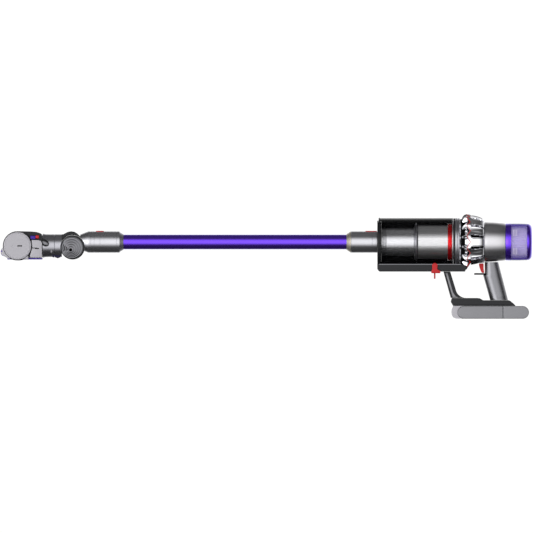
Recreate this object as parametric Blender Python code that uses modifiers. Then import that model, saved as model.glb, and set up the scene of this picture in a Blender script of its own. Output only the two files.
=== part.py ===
"""Cordless stick vacuum: a motor and cyclone unit with a clear bin, a wand and a soft-roller floor head.

Run with: blender --background --python part.py
Units are metres. The origin is the centre of the battery's flat base, +X points from the floor
head towards the filter, and +Z is up. The bin, the cyclones, the motor and the wand are turned
about one main axis, which runs along X at height AXIS_Z.
"""

import math

import bmesh
import bpy

# Driving dimensions
AXIS_Z = 0.1806  # height of the main axis over the battery base
GAP = 0.0003  # clearance between pieces that touch
SEGMENTS = 32  # facets of a large round piece
SMALL_SEGMENTS = 16  # facets of a small one

BIN_FRONT, BIN_REAR = -0.2653, -0.0864
BIN_RADIUS, BIN_WALL = 0.0571, 0.0025
NOTCH_RADIUS = 0.0262  # opening of the bin door around the wand collar
SHROUD_RADIUS = 0.0401
CYCLONE_COUNT = 14
CORE_RADIUS = 0.0300  # bore shared by the rings of the cyclone pack

HOUSING_FRONT, HOUSING_REAR = -0.0126, 0.0360
FILTER_REAR = 0.0982
FILTER_RADIUS = 0.0436

RUNNER_BOTTOM, RUNNER_TOP = 0.1109, 0.1295
RUNNER_HALF_WIDTH, RUNNER_WALL = 0.0295, 0.0033

HANDLE_WIDTH = 0.0360
HANDLE_FOOT = 0.0437
TRIGGER_RECESS = -0.0085  # front face of the grip behind the trigger
HANDLE_TOP = 0.1333

BATTERY_HEIGHT = 0.0299
BATTERY_HALF_WIDTH = 0.0370
BATTERY_FRONT, BATTERY_REAR = -0.0764, 0.0914
BATTERY_SEAM = 0.0305
CELL_RADIUS, CELL_LENGTH, CELL_PITCH, CELL_COUNT = 0.0092, 0.0650, 0.0192, 7
FIRST_CELL = -0.0535

COLLAR_RADIUS = 0.0253
TUBE_RADIUS, TUBE_WALL = 0.0172, 0.0017
WAND_REAR, WAND_FRONT = -0.2656, -0.9073
SPIGOT_RADIUS = 0.0148

PIVOT_X, PIVOT_Z, PIVOT_RADIUS = -0.9827, 0.1679, 0.0286
NECK_Z, NECK_RADIUS = 0.1720, 0.0269
NECK_SEAM = -1.0253

ROLLER_X, ROLLER_Z, ROLLER_RADIUS = -1.1113, 0.1714, 0.0300
HEAD_HALF_WIDTH = 0.1250
HOUSING_HALF_WIDTH = 0.1100
END_CAP_RADIUS = 0.0326

FINISHES = {
    # name: (linear RGB, roughness, metallic, alpha)
    "satin_silver": ((0.62, 0.61, 0.62), 0.30, 0.9, 1.0),
    "nickel": ((0.55, 0.55, 0.57), 0.22, 1.0, 1.0),
    "dark_grey": ((0.045, 0.045, 0.050), 0.40, 0.0, 1.0),
    "graphite": ((0.075, 0.076, 0.082), 0.35, 0.3, 1.0),
    "mid_grey": ((0.21, 0.21, 0.22), 0.40, 0.1, 1.0),
    "light_grey": ((0.42, 0.41, 0.42), 0.45, 0.1, 1.0),
    "purple_metal": ((0.060, 0.020, 0.420), 0.25, 0.9, 1.0),
    "purple_plastic": ((0.060, 0.015, 0.300), 0.25, 0.0, 1.0),
    "filter_purple": ((0.100, 0.045, 0.400), 0.20, 0.0, 0.6),
    "pleat_white": ((0.72, 0.70, 0.74), 0.80, 0.0, 1.0),
    "red": ((0.560, 0.010, 0.014), 0.30, 0.0, 1.0),
    "clear": ((0.75, 0.76, 0.78), 0.08, 0.0, 0.3),
    "black": ((0.012, 0.012, 0.014), 0.35, 0.0, 1.0),
    "rubber_black": ((0.015, 0.015, 0.016), 0.75, 0.0, 1.0),
    "copper": ((0.60, 0.24, 0.12), 0.40, 0.9, 1.0),
    "cell_green": ((0.05, 0.20, 0.16), 0.50, 0.0, 1.0),
    "nap": ((0.100, 0.045, 0.300), 0.90, 0.0, 1.0),
}


def clear_scene():
    for obj in list(bpy.data.objects):
        bpy.data.objects.remove(obj, do_unlink=True)


def collection(name):
    made = bpy.data.collections.new(name)
    bpy.context.scene.collection.children.link(made)
    return made


clear_scene()
MODEL = collection("stick_vacuum")
CUTTERS = collection("cutters")


def finish(name):
    """The material of that name, made on first use."""
    if name in bpy.data.materials:
        return bpy.data.materials[name]
    colour, roughness, metallic, alpha = FINISHES[name]
    material = bpy.data.materials.new(name)
    material.use_nodes = True
    shader = material.node_tree.nodes["Principled BSDF"]
    shader.inputs["Base Color"].default_value = (*colour, 1.0)
    shader.inputs["Roughness"].default_value = roughness
    shader.inputs["Metallic"].default_value = metallic
    shader.inputs["Alpha"].default_value = alpha
    return material


def place(name, mesh, look):
    """An object of the mesh: a part where it has a look, and otherwise a cutter."""
    obj = bpy.data.objects.new(name, mesh)
    if look:
        obj.data.materials.append(finish(look))
        MODEL.objects.link(obj)
    else:
        obj.hide_render = True
        obj.display_type = "WIRE"
        CUTTERS.objects.link(obj)
    return obj


def box(name, low, high, look=None):
    """A block between two corners."""
    centre = [(a + b) / 2 for a, b in zip(low, high)]
    shape = bmesh.new()
    bmesh.ops.create_cube(shape, size=1.0)
    bmesh.ops.scale(shape, vec=[b - a for a, b in zip(low, high)], verts=shape.verts)
    mesh = bpy.data.meshes.new(name)
    shape.to_mesh(mesh)
    shape.free()
    obj = place(name, mesh, look)
    obj.location = centre
    return obj


def turned(name, profile, look=None, centre=(0.0, 0.0, AXIS_Z), axis="X", segments=SEGMENTS):
    """A piece turned about X or Y through the centre.

    The profile lists (position along the axis, radius), and a profile off the axis is a ring.
    """
    area = sum(
        a[1] * b[0] - b[1] * a[0] for a, b in zip(profile, profile[1:] + profile[:1])
    )
    points = profile if area < 0 else profile[::-1]
    edges = [(i, i + 1) for i in range(len(points) - 1)]
    if points[0][1] > 0 or points[-1][1] > 0:
        edges.append((len(points) - 1, 0))
    mesh = bpy.data.meshes.new(name)
    mesh.from_pydata([(radius, 0.0, along) for along, radius in points], edges, [])
    obj = place(name, mesh, look)
    obj.location = centre
    obj.rotation_euler = (0.0, math.pi / 2, 0.0) if axis == "X" else (-math.pi / 2, 0.0, 0.0)
    screw = obj.modifiers.new("turn", "SCREW")
    screw.steps = screw.render_steps = segments
    screw.use_merge_vertices = True
    screw.merge_threshold = 0.00001
    return obj


def ring(name, start, end, outer, inner, look=None, **options):
    """A plain ring between two positions on its axis."""
    profile = [(start, outer), (end, outer), (end, inner), (start, inner)]
    return turned(name, profile, look, **options)


def rod(name, start, end, radius, look=None, **options):
    """A plain cylinder between two positions on its axis."""
    return turned(name, [(start, 0.0), (start, radius), (end, radius), (end, 0.0)], look, **options)


def arc(centre, radius, start, end, steps=8):
    """Points along an arc, between two angles in degrees."""
    angles = [math.radians(start + (end - start) * i / steps) for i in range(steps + 1)]
    return [(centre[0] + radius * math.cos(a), centre[1] + radius * math.sin(a)) for a in angles]


def plate(name, outlines, low, high, look=None, across="Y"):
    """A flat outline, with any holes after it, as thick as from low to high across X or Y.

    The outline's points are (x, z) where it is across Y and (y, z) where it is across X.
    """
    curve = bpy.data.curves.new(name, "CURVE")
    curve.dimensions = "2D"
    curve.fill_mode = "BOTH"
    curve.extrude = (high - low) / 2
    for outline in outlines:
        spline = curve.splines.new("POLY")
        spline.points.add(len(outline) - 1)
        for point, (first, second) in zip(spline.points, outline):
            point.co = (first, second, 0.0, 1.0)
        spline.use_cyclic_u = True
    flat = bpy.data.objects.new(name + "_outline", curve)
    CUTTERS.objects.link(flat)
    solid = bpy.data.meshes.new_from_object(flat.evaluated_get(bpy.context.evaluated_depsgraph_get()))
    bpy.data.objects.remove(flat, do_unlink=True)
    shape = bmesh.new()
    shape.from_mesh(solid)
    bmesh.ops.remove_doubles(shape, verts=shape.verts, dist=0.000001)
    bmesh.ops.recalc_face_normals(shape, faces=shape.faces)
    shape.to_mesh(solid)
    shape.free()
    solid.materials.clear()
    obj = place(name, solid, look)
    middle = (low + high) / 2
    if across == "Y":
        obj.rotation_euler = (math.pi / 2, 0.0, 0.0)
        obj.location = (0.0, middle, 0.0)
    else:
        obj.rotation_euler = (math.pi / 2, 0.0, math.pi / 2)
        obj.location = (middle, 0.0, 0.0)
    return obj


def bevel(obj, width, segments=2):
    modifier = obj.modifiers.new("round_edges", "BEVEL")
    modifier.width = width
    modifier.segments = segments
    modifier.limit_method = "ANGLE"
    modifier.angle_limit = math.radians(35)
    return obj


def boolean(obj, operation, others):
    for other in others:
        modifier = obj.modifiers.new(other.name, "BOOLEAN")
        modifier.operation = operation
        modifier.object = other
    return obj


def cut(obj, *cutters):
    return boolean(obj, "DIFFERENCE", cutters)


def join(obj, *pieces):
    return boolean(obj, "UNION", pieces)


def pivot(name, location, parent=None):
    """An empty on a joint's axis, which carries the pieces that move together."""
    empty = bpy.data.objects.new(name, None)
    MODEL.objects.link(empty)
    empty.location = location
    carry(parent, empty)
    return empty


def carry(empty, *pieces):
    """Parents the pieces to an empty where they stand."""
    if empty is None:
        return
    bpy.context.view_layer.update()
    for piece in pieces:
        piece.parent = empty
        piece.matrix_parent_inverse = empty.matrix_world.inverted()


def scalloped(radius, depth, count, sign, steps):
    """A (y, z) outline about the main axis with evenly spaced lobes."""
    total = count * steps
    outline = []
    for i in range(total):
        angle = 2 * math.pi * i / total
        r = radius + sign * depth * math.cos(count * angle)
        outline.append((r * math.cos(angle), AXIS_Z + r * math.sin(angle)))
    return outline


def circle(radius, steps=SEGMENTS):
    """A (y, z) circle about the main axis."""
    return arc((0.0, AXIS_Z), radius, 0, 360 - 360 / steps, steps - 1)


def make_cyclones(root):
    """The ring of cyclones behind the bin, its seal and collar, and the tube that they sit on."""
    core = ring("vortex_core", -0.0990, -0.0135, CORE_RADIUS - GAP, 0.0265, "dark_grey")
    collar = turned(
        "cyclone_collar",
        [(-0.0860, 0.0540), (-0.0824, 0.0565), (-0.0699, 0.0565), (-0.0664, 0.0520),
         (-0.0664, CORE_RADIUS), (-0.0860, CORE_RADIUS)],
        "nickel",
    )
    front = plate(
        "cyclone_front",
        [scalloped(0.0607, 0.0045, CYCLONE_COUNT, -1, 4), circle(CORE_RADIUS)],
        -0.0660, -0.0560, "nickel", across="X",
    )
    seal = ring("cyclone_seal", -0.0557, -0.0453, 0.0585, CORE_RADIUS, "red")
    rear = turned(
        "cyclone_rear",
        [(-0.0450, 0.0600), (-0.0340, 0.0570), (-0.0220, 0.0520), (-0.0131, 0.0468),
         (-0.0131, CORE_RADIUS), (-0.0450, CORE_RADIUS)],
        "nickel",
        segments=CYCLONE_COUNT * 2,
    )
    for i in range(CYCLONE_COUNT):
        slot = box(f"cut_cyclone_slot_{i}", (-0.050, -0.0020, 0.0500), (-0.005, 0.0020, 0.0800))
        slot.location = (-0.0275, 0.0, AXIS_Z)
        for vertex in slot.data.vertices:
            vertex.co.z += 0.0650
        slot.rotation_euler = (2 * math.pi * (i + 0.5) / CYCLONE_COUNT + math.pi / 2, 0.0, 0.0)
        cut(rear, slot)
    # The underside of the pack is flat, in line with the housing behind it, which leaves room for the trigger.
    underside = plate(
        "cut_cyclone_underside",
        [[(-0.0565, 0.1140), (-0.0457, 0.1313), (-0.0120, 0.1332), (-0.0120, 0.1000), (-0.0565, 0.1000)]],
        -0.0700, 0.0700,
    )
    cut(seal, underside)
    cut(rear, underside)
    carry(root, core, collar, front, seal, rear)


def make_separator(root):
    """The fixed pieces inside the bin: shroud, skirt, sleeve and the duct that feeds them."""
    band = ring("shroud_band", -0.0994, -0.0867, 0.0430, CORE_RADIUS, "red")
    shroud = ring("shroud", -0.1692, -0.0997, SHROUD_RADIUS, 0.0386, "satin_silver")
    skirt = turned(
        "shroud_skirt",
        [(-0.1788, 0.0360), (-0.1750, 0.0470), (-0.1735, 0.0470), (-0.1695, 0.0400),
         (-0.1695, 0.0300), (-0.1788, 0.0300)],
        "rubber_black",
    )
    sleeve = ring("inlet_sleeve", -0.2440, -0.1791, 0.0333, 0.0313, "graphite")
    duct = rod("inlet_duct", -0.2650, -0.2560, NOTCH_RADIUS - 0.0005, "black")
    upper = box("cut_duct_web", (-0.2648, -0.0250, AXIS_Z - 0.0031), (-0.2562, 0.0250, AXIS_Z + 0.0465))
    pipe = rod("cut_duct_pipe", -0.2610, -0.1850, 0.0173)
    bore = rod("cut_duct_bore", -0.2700, -0.1700, 0.0154)
    cut(join(duct, upper, pipe), bore)
    carry(root, band, shroud, skirt, sleeve, duct)


def make_motor(root):
    """The motor housing with the stator in it, and the impeller that turns on the main axis."""
    housing = turned(
        "motor_housing",
        [(HOUSING_FRONT, 0.0466), (0.0200, 0.0455), (HOUSING_REAR, 0.0437), (HOUSING_REAR, 0.0300),
         (0.0330, 0.0300), (0.0330, 0.0405), (HOUSING_FRONT, 0.0425)],
        "satin_silver",
    )
    stator = ring("motor_stator", 0.0000, 0.0200, 0.0320, 0.0110, "copper", segments=SMALL_SEGMENTS)
    carry(root, housing, stator)
    impeller = turned(
        "impeller",
        [(-0.0120, 0.0), (-0.0110, 0.0050), (-0.0060, 0.0220), (-0.0045, 0.0220), (-0.0040, 0.0040),
         (0.0010, 0.0040), (0.0010, 0.0095), (0.0190, 0.0095), (0.0190, 0.0030), (0.0260, 0.0030),
         (0.0260, 0.0)],
        "graphite",
        segments=SMALL_SEGMENTS,
    )
    carry(pivot("impeller_axis", (0.0, 0.0, AXIS_Z), root), impeller)


def make_back(root):
    """The fixed cover at the back with its mode slider, and the filter that pulls off over it."""
    cover = turned(
        "rear_cover",
        [(0.0363, 0.0210), (0.0915, 0.0210), (0.0935, 0.0190), (0.0935, 0.0), (0.0915, 0.0),
         (0.0915, 0.0185), (0.0363, 0.0185)],
        "dark_grey",
        segments=SMALL_SEGMENTS,
    )
    track = box("cut_slider_track", (0.0900, -0.0110, AXIS_Z - 0.0022), (0.0960, 0.0110, AXIS_Z + 0.0022))
    cut(cover, track)
    carry(root, cover)

    slider = box("mode_slider", (0.0938, -0.0040, AXIS_Z - 0.0040), (0.0972, 0.0040, AXIS_Z + 0.0040), "red")
    stem = box("cut_slider_stem", (0.0905, -0.0030, AXIS_Z - 0.0018), (0.0950, 0.0030, AXIS_Z + 0.0018))
    join(slider, stem)
    carry(pivot("mode_slider_travel", (0.0938, 0.0, AXIS_Z), root), slider)

    shell = turned(
        "filter_shell",
        [(0.0364, 0.0430), (0.0500, FILTER_RADIUS), (0.0750, FILTER_RADIUS), (0.0900, 0.0420),
         (0.0960, 0.0385), (FILTER_REAR, 0.0330), (FILTER_REAR, 0.0225), (0.0955, 0.0225),
         (0.0955, 0.0330), (0.0890, 0.0395), (0.0364, 0.0410)],
        "filter_purple",
    )
    pleats = plate(
        "filter_pleats",
        [scalloped(0.0366, 0.0018, 24, 1, 4), circle(0.0240, SMALL_SEGMENTS)],
        0.0400, 0.0880, "pleat_white", across="X",
    )
    seal = ring("filter_seal", 0.0364, 0.0395, 0.0406, 0.0240, "rubber_black")
    carry(pivot("filter_pull", (FILTER_REAR, 0.0, AXIS_Z), root), shell, pleats, seal)


def make_handle(root):
    """The grip in two half shells, with the trigger in front of it and the guard under the trigger."""
    side = [(0.0002, HANDLE_FOOT), (0.0427, HANDLE_FOOT), (0.0195, HANDLE_TOP), (-0.0250, HANDLE_TOP)]
    inside = [(0.0030, 0.0480), (0.0384, 0.0480), (0.0175, 0.1303), (-0.0068, 0.1303)]
    hollow = plate("cut_handle_hollow", [inside], -0.0150, 0.0150)
    recess = box("cut_trigger_recess", (-0.0500, -0.0300, 0.1033), (TRIGGER_RECESS, 0.0300, 0.1500))
    for name, sign in (("handle_left", -1), ("handle_right", 1)):
        shell = bevel(plate(name, [side], -HANDLE_WIDTH / 2, HANDLE_WIDTH / 2, "mid_grey"), 0.0090, 3)
        other_half = box(
            f"cut_{name}_seam",
            (-0.0600, min(-0.0300 * sign, GAP / 2 * sign), 0.0300),
            (0.0700, max(-0.0300 * sign, GAP / 2 * sign), 0.1600),
        )
        cut(shell, hollow, recess, other_half)
        carry(root, shell)
    switch = box("trigger_switch", (-0.0020, -0.0040, 0.1120), (0.0090, 0.0040, 0.1260), "black")
    guard = box("finger_guard", (-0.0372, -0.0110, 0.1036), (TRIGGER_RECESS - GAP, 0.0110, 0.1071), "black")
    carry(root, switch, bevel(guard, 0.0008, 1))

    trigger = plate(
        "trigger",
        [[(-0.0150, 0.1302), (-0.0262, 0.1302), (-0.0254, 0.1230), (-0.0233, 0.1168), (-0.0190, 0.1078),
          (-0.0135, 0.1078), (-0.0150, 0.1170)]],
        -0.0070, 0.0070, "red",
    )
    carry(pivot("trigger_travel", (-0.0150, 0.0, 0.1190), root), bevel(trigger, 0.0008, 1))


def make_base(root):
    """The bracket that joins the grip to the battery, and the strut up to the bin runner."""
    strut = plate(
        "strut",
        [[(-0.1100, 0.1106), (-0.0935, 0.1106), (-0.0815, 0.0629), (-0.0760, 0.0555), (-0.0660, 0.0490),
          (-0.0925, 0.0490)]],
        -0.0130, 0.0130, "dark_grey",
    )
    bracket = plate(
        "base_bracket",
        [[(-0.0924, 0.0487), (-0.0271, 0.0487), (-0.0153, 0.0432), (0.0440, 0.0432),
          (0.0572, 0.0335), (0.0572, 0.0303), (-0.0871, 0.0303)]],
        -0.0300, 0.0300, "dark_grey",
    )
    carry(root, bevel(strut, 0.0015, 1), bracket)


def make_battery(root):
    """The battery pack: two case halves, the cells, the charging socket and the cradle in front."""
    half = BATTERY_HEIGHT / 2
    front_centre = (BATTERY_FRONT + half, half)
    rear_centre = (BATTERY_REAR - half, half)
    case = plate(
        "battery_case",
        [arc(front_centre, half, 90, 270, 12)
         + [(BATTERY_SEAM - GAP, 0.0), (BATTERY_SEAM - GAP, BATTERY_HEIGHT)]],
        -BATTERY_HALF_WIDTH, BATTERY_HALF_WIDTH, "mid_grey",
    )
    cap = plate(
        "battery_end_cap",
        [arc(rear_centre, half, -90, 90, 12) + [(BATTERY_SEAM, BATTERY_HEIGHT), (BATTERY_SEAM, 0.0)]],
        -BATTERY_HALF_WIDTH, BATTERY_HALF_WIDTH, "mid_grey",
    )
    room = box("cut_cell_room", (-0.0655, -0.0345, 0.0030), (0.0800, 0.0345, 0.0270))
    cut(case, room)
    socket_hole = rod(
        "cut_socket_hole", 0.0780, 0.0950, 0.0042, centre=(0.0, 0.0, half), segments=SMALL_SEGMENTS
    )
    cut(cap, room, socket_hole)
    socket = turned(
        "charge_socket",
        [(0.0790, 0.0), (0.0790, 0.0038), (0.0900, 0.0038), (0.0900, 0.0025), (0.0830, 0.0025),
         (0.0830, 0.0)],
        "black",
        centre=(0.0, 0.0, half),
        segments=SMALL_SEGMENTS,
    )

    cells = box(
        "battery_cells", (FIRST_CELL, -0.0315, half + 0.0040),
        (FIRST_CELL + CELL_PITCH * (CELL_COUNT - 1), 0.0315, half + 0.0088), "cell_green",
    )
    for i in range(CELL_COUNT):
        cell = rod(
            f"cut_cell_{i}", -CELL_LENGTH / 2, CELL_LENGTH / 2, CELL_RADIUS,
            centre=(FIRST_CELL + CELL_PITCH * i, 0.0, half), axis="Y", segments=SMALL_SEGMENTS,
        )
        join(cells, cell)

    cradle = plate(
        "battery_cradle",
        [[(-0.0866, 0.0300), (-0.0904, 0.0180), (-0.0895, 0.0080), (-0.0830, 0.0003), (-0.0705, 0.0003),
          (-0.0705, 0.0300)]],
        -0.0330, 0.0330, "light_grey",
    )
    seat = rod("cut_cradle_seat", -0.0500, 0.0500, half + GAP, centre=(front_centre[0], 0.0, half), axis="Y")
    carry(root, case, cap, socket, cells, cut(cradle, seat))


def make_runner(root):
    """The U-shaped rail under the bin, with the button in its floor that frees the bin."""
    runner = plate(
        "bin_runner",
        [[(BIN_FRONT, RUNNER_TOP), (BIN_FRONT, 0.1170), (-0.2600, RUNNER_BOTTOM), (-0.0589, RUNNER_BOTTOM),
          (-0.0518, RUNNER_TOP)]],
        -RUNNER_HALF_WIDTH, RUNNER_HALF_WIDTH, "graphite",
    )
    inner = RUNNER_HALF_WIDTH - RUNNER_WALL
    channel = box("cut_runner_channel", (-0.3000, -inner, 0.1144), (-0.0300, inner, 0.1500))
    clearance = rod("cut_runner_clearance", -0.0668, -0.0300, 0.0657)
    hole = box("cut_runner_button", (-0.2425, -0.0055, 0.1000), (-0.2275, 0.0055, 0.1200))
    carry(root, cut(runner, channel, clearance, hole))

    button = box("runner_button", (-0.2420, -0.0050, 0.1111), (-0.2280, 0.0050, 0.1130), "red")
    carry(pivot("runner_button_travel", (-0.2350, 0.0, 0.1111), root), button)


def make_bin(root):
    """The clear bin on its shoe, its hinged front door and the lever that pushes it forward."""
    slide = pivot("bin_slide", (BIN_FRONT, 0.0, RUNNER_TOP), root)
    shell = turned(
        "bin_shell",
        [(-0.2622, BIN_RADIUS), (-0.0867, BIN_RADIUS), (-0.0867, BIN_RADIUS - BIN_WALL),
         (-0.2622, BIN_RADIUS - BIN_WALL)],
        "clear",
    )
    shoe = box("bin_shoe", (-0.2590, -0.0250, 0.1147), (-0.0900, 0.0250, 0.1232), "dark_grey")
    carry(slide, shell, bevel(shoe, 0.001, 1))

    hinge = pivot("bin_door_hinge", (-0.2640, 0.0, 0.1185), slide)
    door = turned(
        "bin_door",
        [(BIN_FRONT, 0.0), (BIN_FRONT, 0.0560), (-0.2645, 0.0570), (-0.2627, 0.0570), (-0.2627, 0.0522),
         (-0.2560, 0.0522), (-0.2560, 0.0)],
        "black",
    )
    tab = box("cut_door_tab", (BIN_FRONT, -0.0120, 0.1165), (-0.2627, 0.0120, 0.1300))
    seal = ring("door_seal", -0.2622, -0.2575, 0.0541, 0.0525, "rubber_black")
    mouth = rod("cut_door_mouth", -0.2700, -0.2500, NOTCH_RADIUS)
    slot = box("cut_door_slot", (-0.2700, -NOTCH_RADIUS, AXIS_Z), (-0.2500, NOTCH_RADIUS, AXIS_Z + 0.0700))
    cut(join(door, tab), mouth, slot)
    cut(seal, slot)
    carry(hinge, door, seal)

    lever = box("release_lever", (-0.1382, -0.0325, 0.1071), (-0.1172, 0.0325, 0.1106), "red")
    fin = box("cut_lever_fin", (-0.1324, -0.0120, 0.0939), (-0.1286, 0.0120, 0.1080))
    head = arc((-0.1302, 0.1245), 0.0068, -30, 210, 12) + [(-0.1382, 0.1080), (-0.1222, 0.1080)]
    cheeks = [
        plate(f"cut_lever_cheek_{side}", [head], low, high)
        for side, low, high in (("left", -0.0325, -0.0298), ("right", 0.0298, 0.0325))
    ]
    carry(pivot("lever_travel", (-0.1302, 0.0, 0.1088), slide), join(lever, fin, *cheeks))


def button_on(name, start, end, carrier):
    """A press button let into the top of a collar."""
    floor, foot, top = AXIS_Z + 0.0195, AXIS_Z + 0.0220, AXIS_Z + 0.0262
    button = box(name, (start + 0.0004, -0.0060, foot), (end - 0.0004, 0.0060, top), "red")
    cut(carrier, box(f"cut_{name}_pocket", (start, -0.0065, floor), (end, 0.0065, AXIS_Z + 0.0400)))
    return bevel(button, 0.0006, 1)


def make_wand(root):
    """The tube with a collar at each end, and the button that frees it from the motor unit."""
    wand = pivot("wand_pull", (WAND_REAR, 0.0, AXIS_Z), root)
    tube = ring("wand_tube", -0.8925, -0.3100, TUBE_RADIUS, TUBE_RADIUS - TUBE_WALL, "purple_metal")
    upper = turned(
        "wand_upper_collar",
        [(-0.3379, 0.0180), (-0.3273, COLLAR_RADIUS), (WAND_REAR, COLLAR_RADIUS), (WAND_REAR, SPIGOT_RADIUS),
         (-0.2580, SPIGOT_RADIUS), (-0.2580, 0.0133), (-0.3096, 0.0133), (-0.3096, 0.0175),
         (-0.3379, 0.0175)],
        "graphite",
    )
    lower = turned(
        "wand_lower_collar",
        [(-0.8629, 0.0180), (-0.8730, COLLAR_RADIUS), (WAND_FRONT, COLLAR_RADIUS), (WAND_FRONT, 0.0151),
         (-0.8930, 0.0151), (-0.8930, 0.0175), (-0.8629, 0.0175)],
        "graphite",
    )
    release = button_on("wand_release_button", -0.2938, -0.2661, upper)
    carry(wand, tube, upper, lower)
    carry(pivot("wand_button_travel", (-0.2800, 0.0, AXIS_Z + 0.0262), wand), release)
    return wand


def make_connector(wand):
    """The collar that plugs into the wand, with the barrel that the neck turns on."""
    base = pivot("head_pull", (WAND_FRONT, 0.0, AXIS_Z), wand)
    connector = turned(
        "head_connector",
        [(-0.8950, 0.0130), (-0.8950, SPIGOT_RADIUS), (WAND_FRONT - 0.0006, SPIGOT_RADIUS),
         (WAND_FRONT - 0.0006, COLLAR_RADIUS), (-0.9458, COLLAR_RADIUS), (-0.9646, 0.0175),
         (-0.9646, 0.0130)],
        "graphite",
    )
    seat = rod(
        "cut_connector_seat", -0.0400, 0.0400, PIVOT_RADIUS + GAP, centre=(PIVOT_X, 0.0, PIVOT_Z), axis="Y"
    )
    release = button_on("head_release_button", -0.9281, -0.9086, connector)
    cut(connector, seat)
    centre = (PIVOT_X, 0.0, PIVOT_Z)
    barrel = rod("pivot_barrel", -0.0135, 0.0135, PIVOT_RADIUS, "light_grey", centre=centre, axis="Y")
    bore = rod("cut_barrel_bore", -0.0200, 0.0200, 0.0034, centre=centre, axis="Y", segments=SMALL_SEGMENTS)
    cut(barrel, bore)
    covers = []
    for name, sign in (("pivot_cover_left", -1), ("pivot_cover_right", 1)):
        steps = [(0.0171, PIVOT_RADIUS), (0.0195, PIVOT_RADIUS), (0.0205, 0.0240), (0.0215, 0.0240),
                 (0.0225, 0.0180), (0.0235, 0.0180), (0.0240, 0.0120), (0.0240, 0.0034), (0.0171, 0.0034)]
        profile = [(sign * along, radius) for along, radius in steps]
        covers.append(turned(name, profile, "light_grey", centre=centre, axis="Y"))
    dome = plate(
        "pivot_dome",
        [[(-1.0035, 0.1965), (-0.9960, 0.2035), (-0.9860, 0.2060), (-0.9760, 0.2030), (-0.9665, 0.1950)]
         + arc((PIVOT_X, PIVOT_Z), PIVOT_RADIUS + GAP, 60, 127, 8)],
        -0.0130, 0.0130, "dark_grey",
    )
    carry(base, connector, barrel, dome, *covers)
    carry(pivot("head_button_travel", (-0.9183, 0.0, AXIS_Z + 0.0262), base), release)
    return base


def make_neck(base):
    """The yoke that pitches on the barrel, with its small wheels."""
    pitch = pivot("neck_pitch", (PIVOT_X, 0.0, PIVOT_Z), base)
    neck = ring("neck_rear", -1.0250, -1.0080, NECK_RADIUS, 0.0125, "graphite", centre=(0.0, 0.0, NECK_Z))
    clearance = rod(
        "cut_neck_socket", -0.0400, 0.0400, PIVOT_RADIUS + 0.0008, centre=(PIVOT_X, 0.0, PIVOT_Z), axis="Y"
    )
    cut(neck, clearance)
    for sign in (-1, 1):
        low, high = sorted((sign * 0.0138, sign * 0.0168))
        outline = arc((PIVOT_X, PIVOT_Z), 0.0137, -90, 90, 12) + [(-1.0163, 0.1816), (-1.0163, 0.1542)]
        join(neck, plate(f"cut_yoke_arm_{sign + 1}", [outline], low, high))
    wheel_x, wheel_z, wheel_radius = -1.0175, 0.1484, 0.0060
    cut(neck, box("cut_wheel_well", (-1.0242, -0.0125, 0.1300), (-1.0108, 0.0125, 0.1550)))
    carry(pitch, neck)
    for name, low, high in (("neck_wheel_left", -0.0120, -0.0050), ("neck_wheel_right", 0.0050, 0.0120)):
        wheel = ring(
            name, low, high, wheel_radius, 0.0015, "rubber_black",
            centre=(wheel_x, 0.0, wheel_z), axis="Y", segments=SMALL_SEGMENTS,
        )
        carry(pivot(f"{name}_axle", (wheel_x, (low + high) / 2, wheel_z), pitch), wheel)
    return pitch


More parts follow.
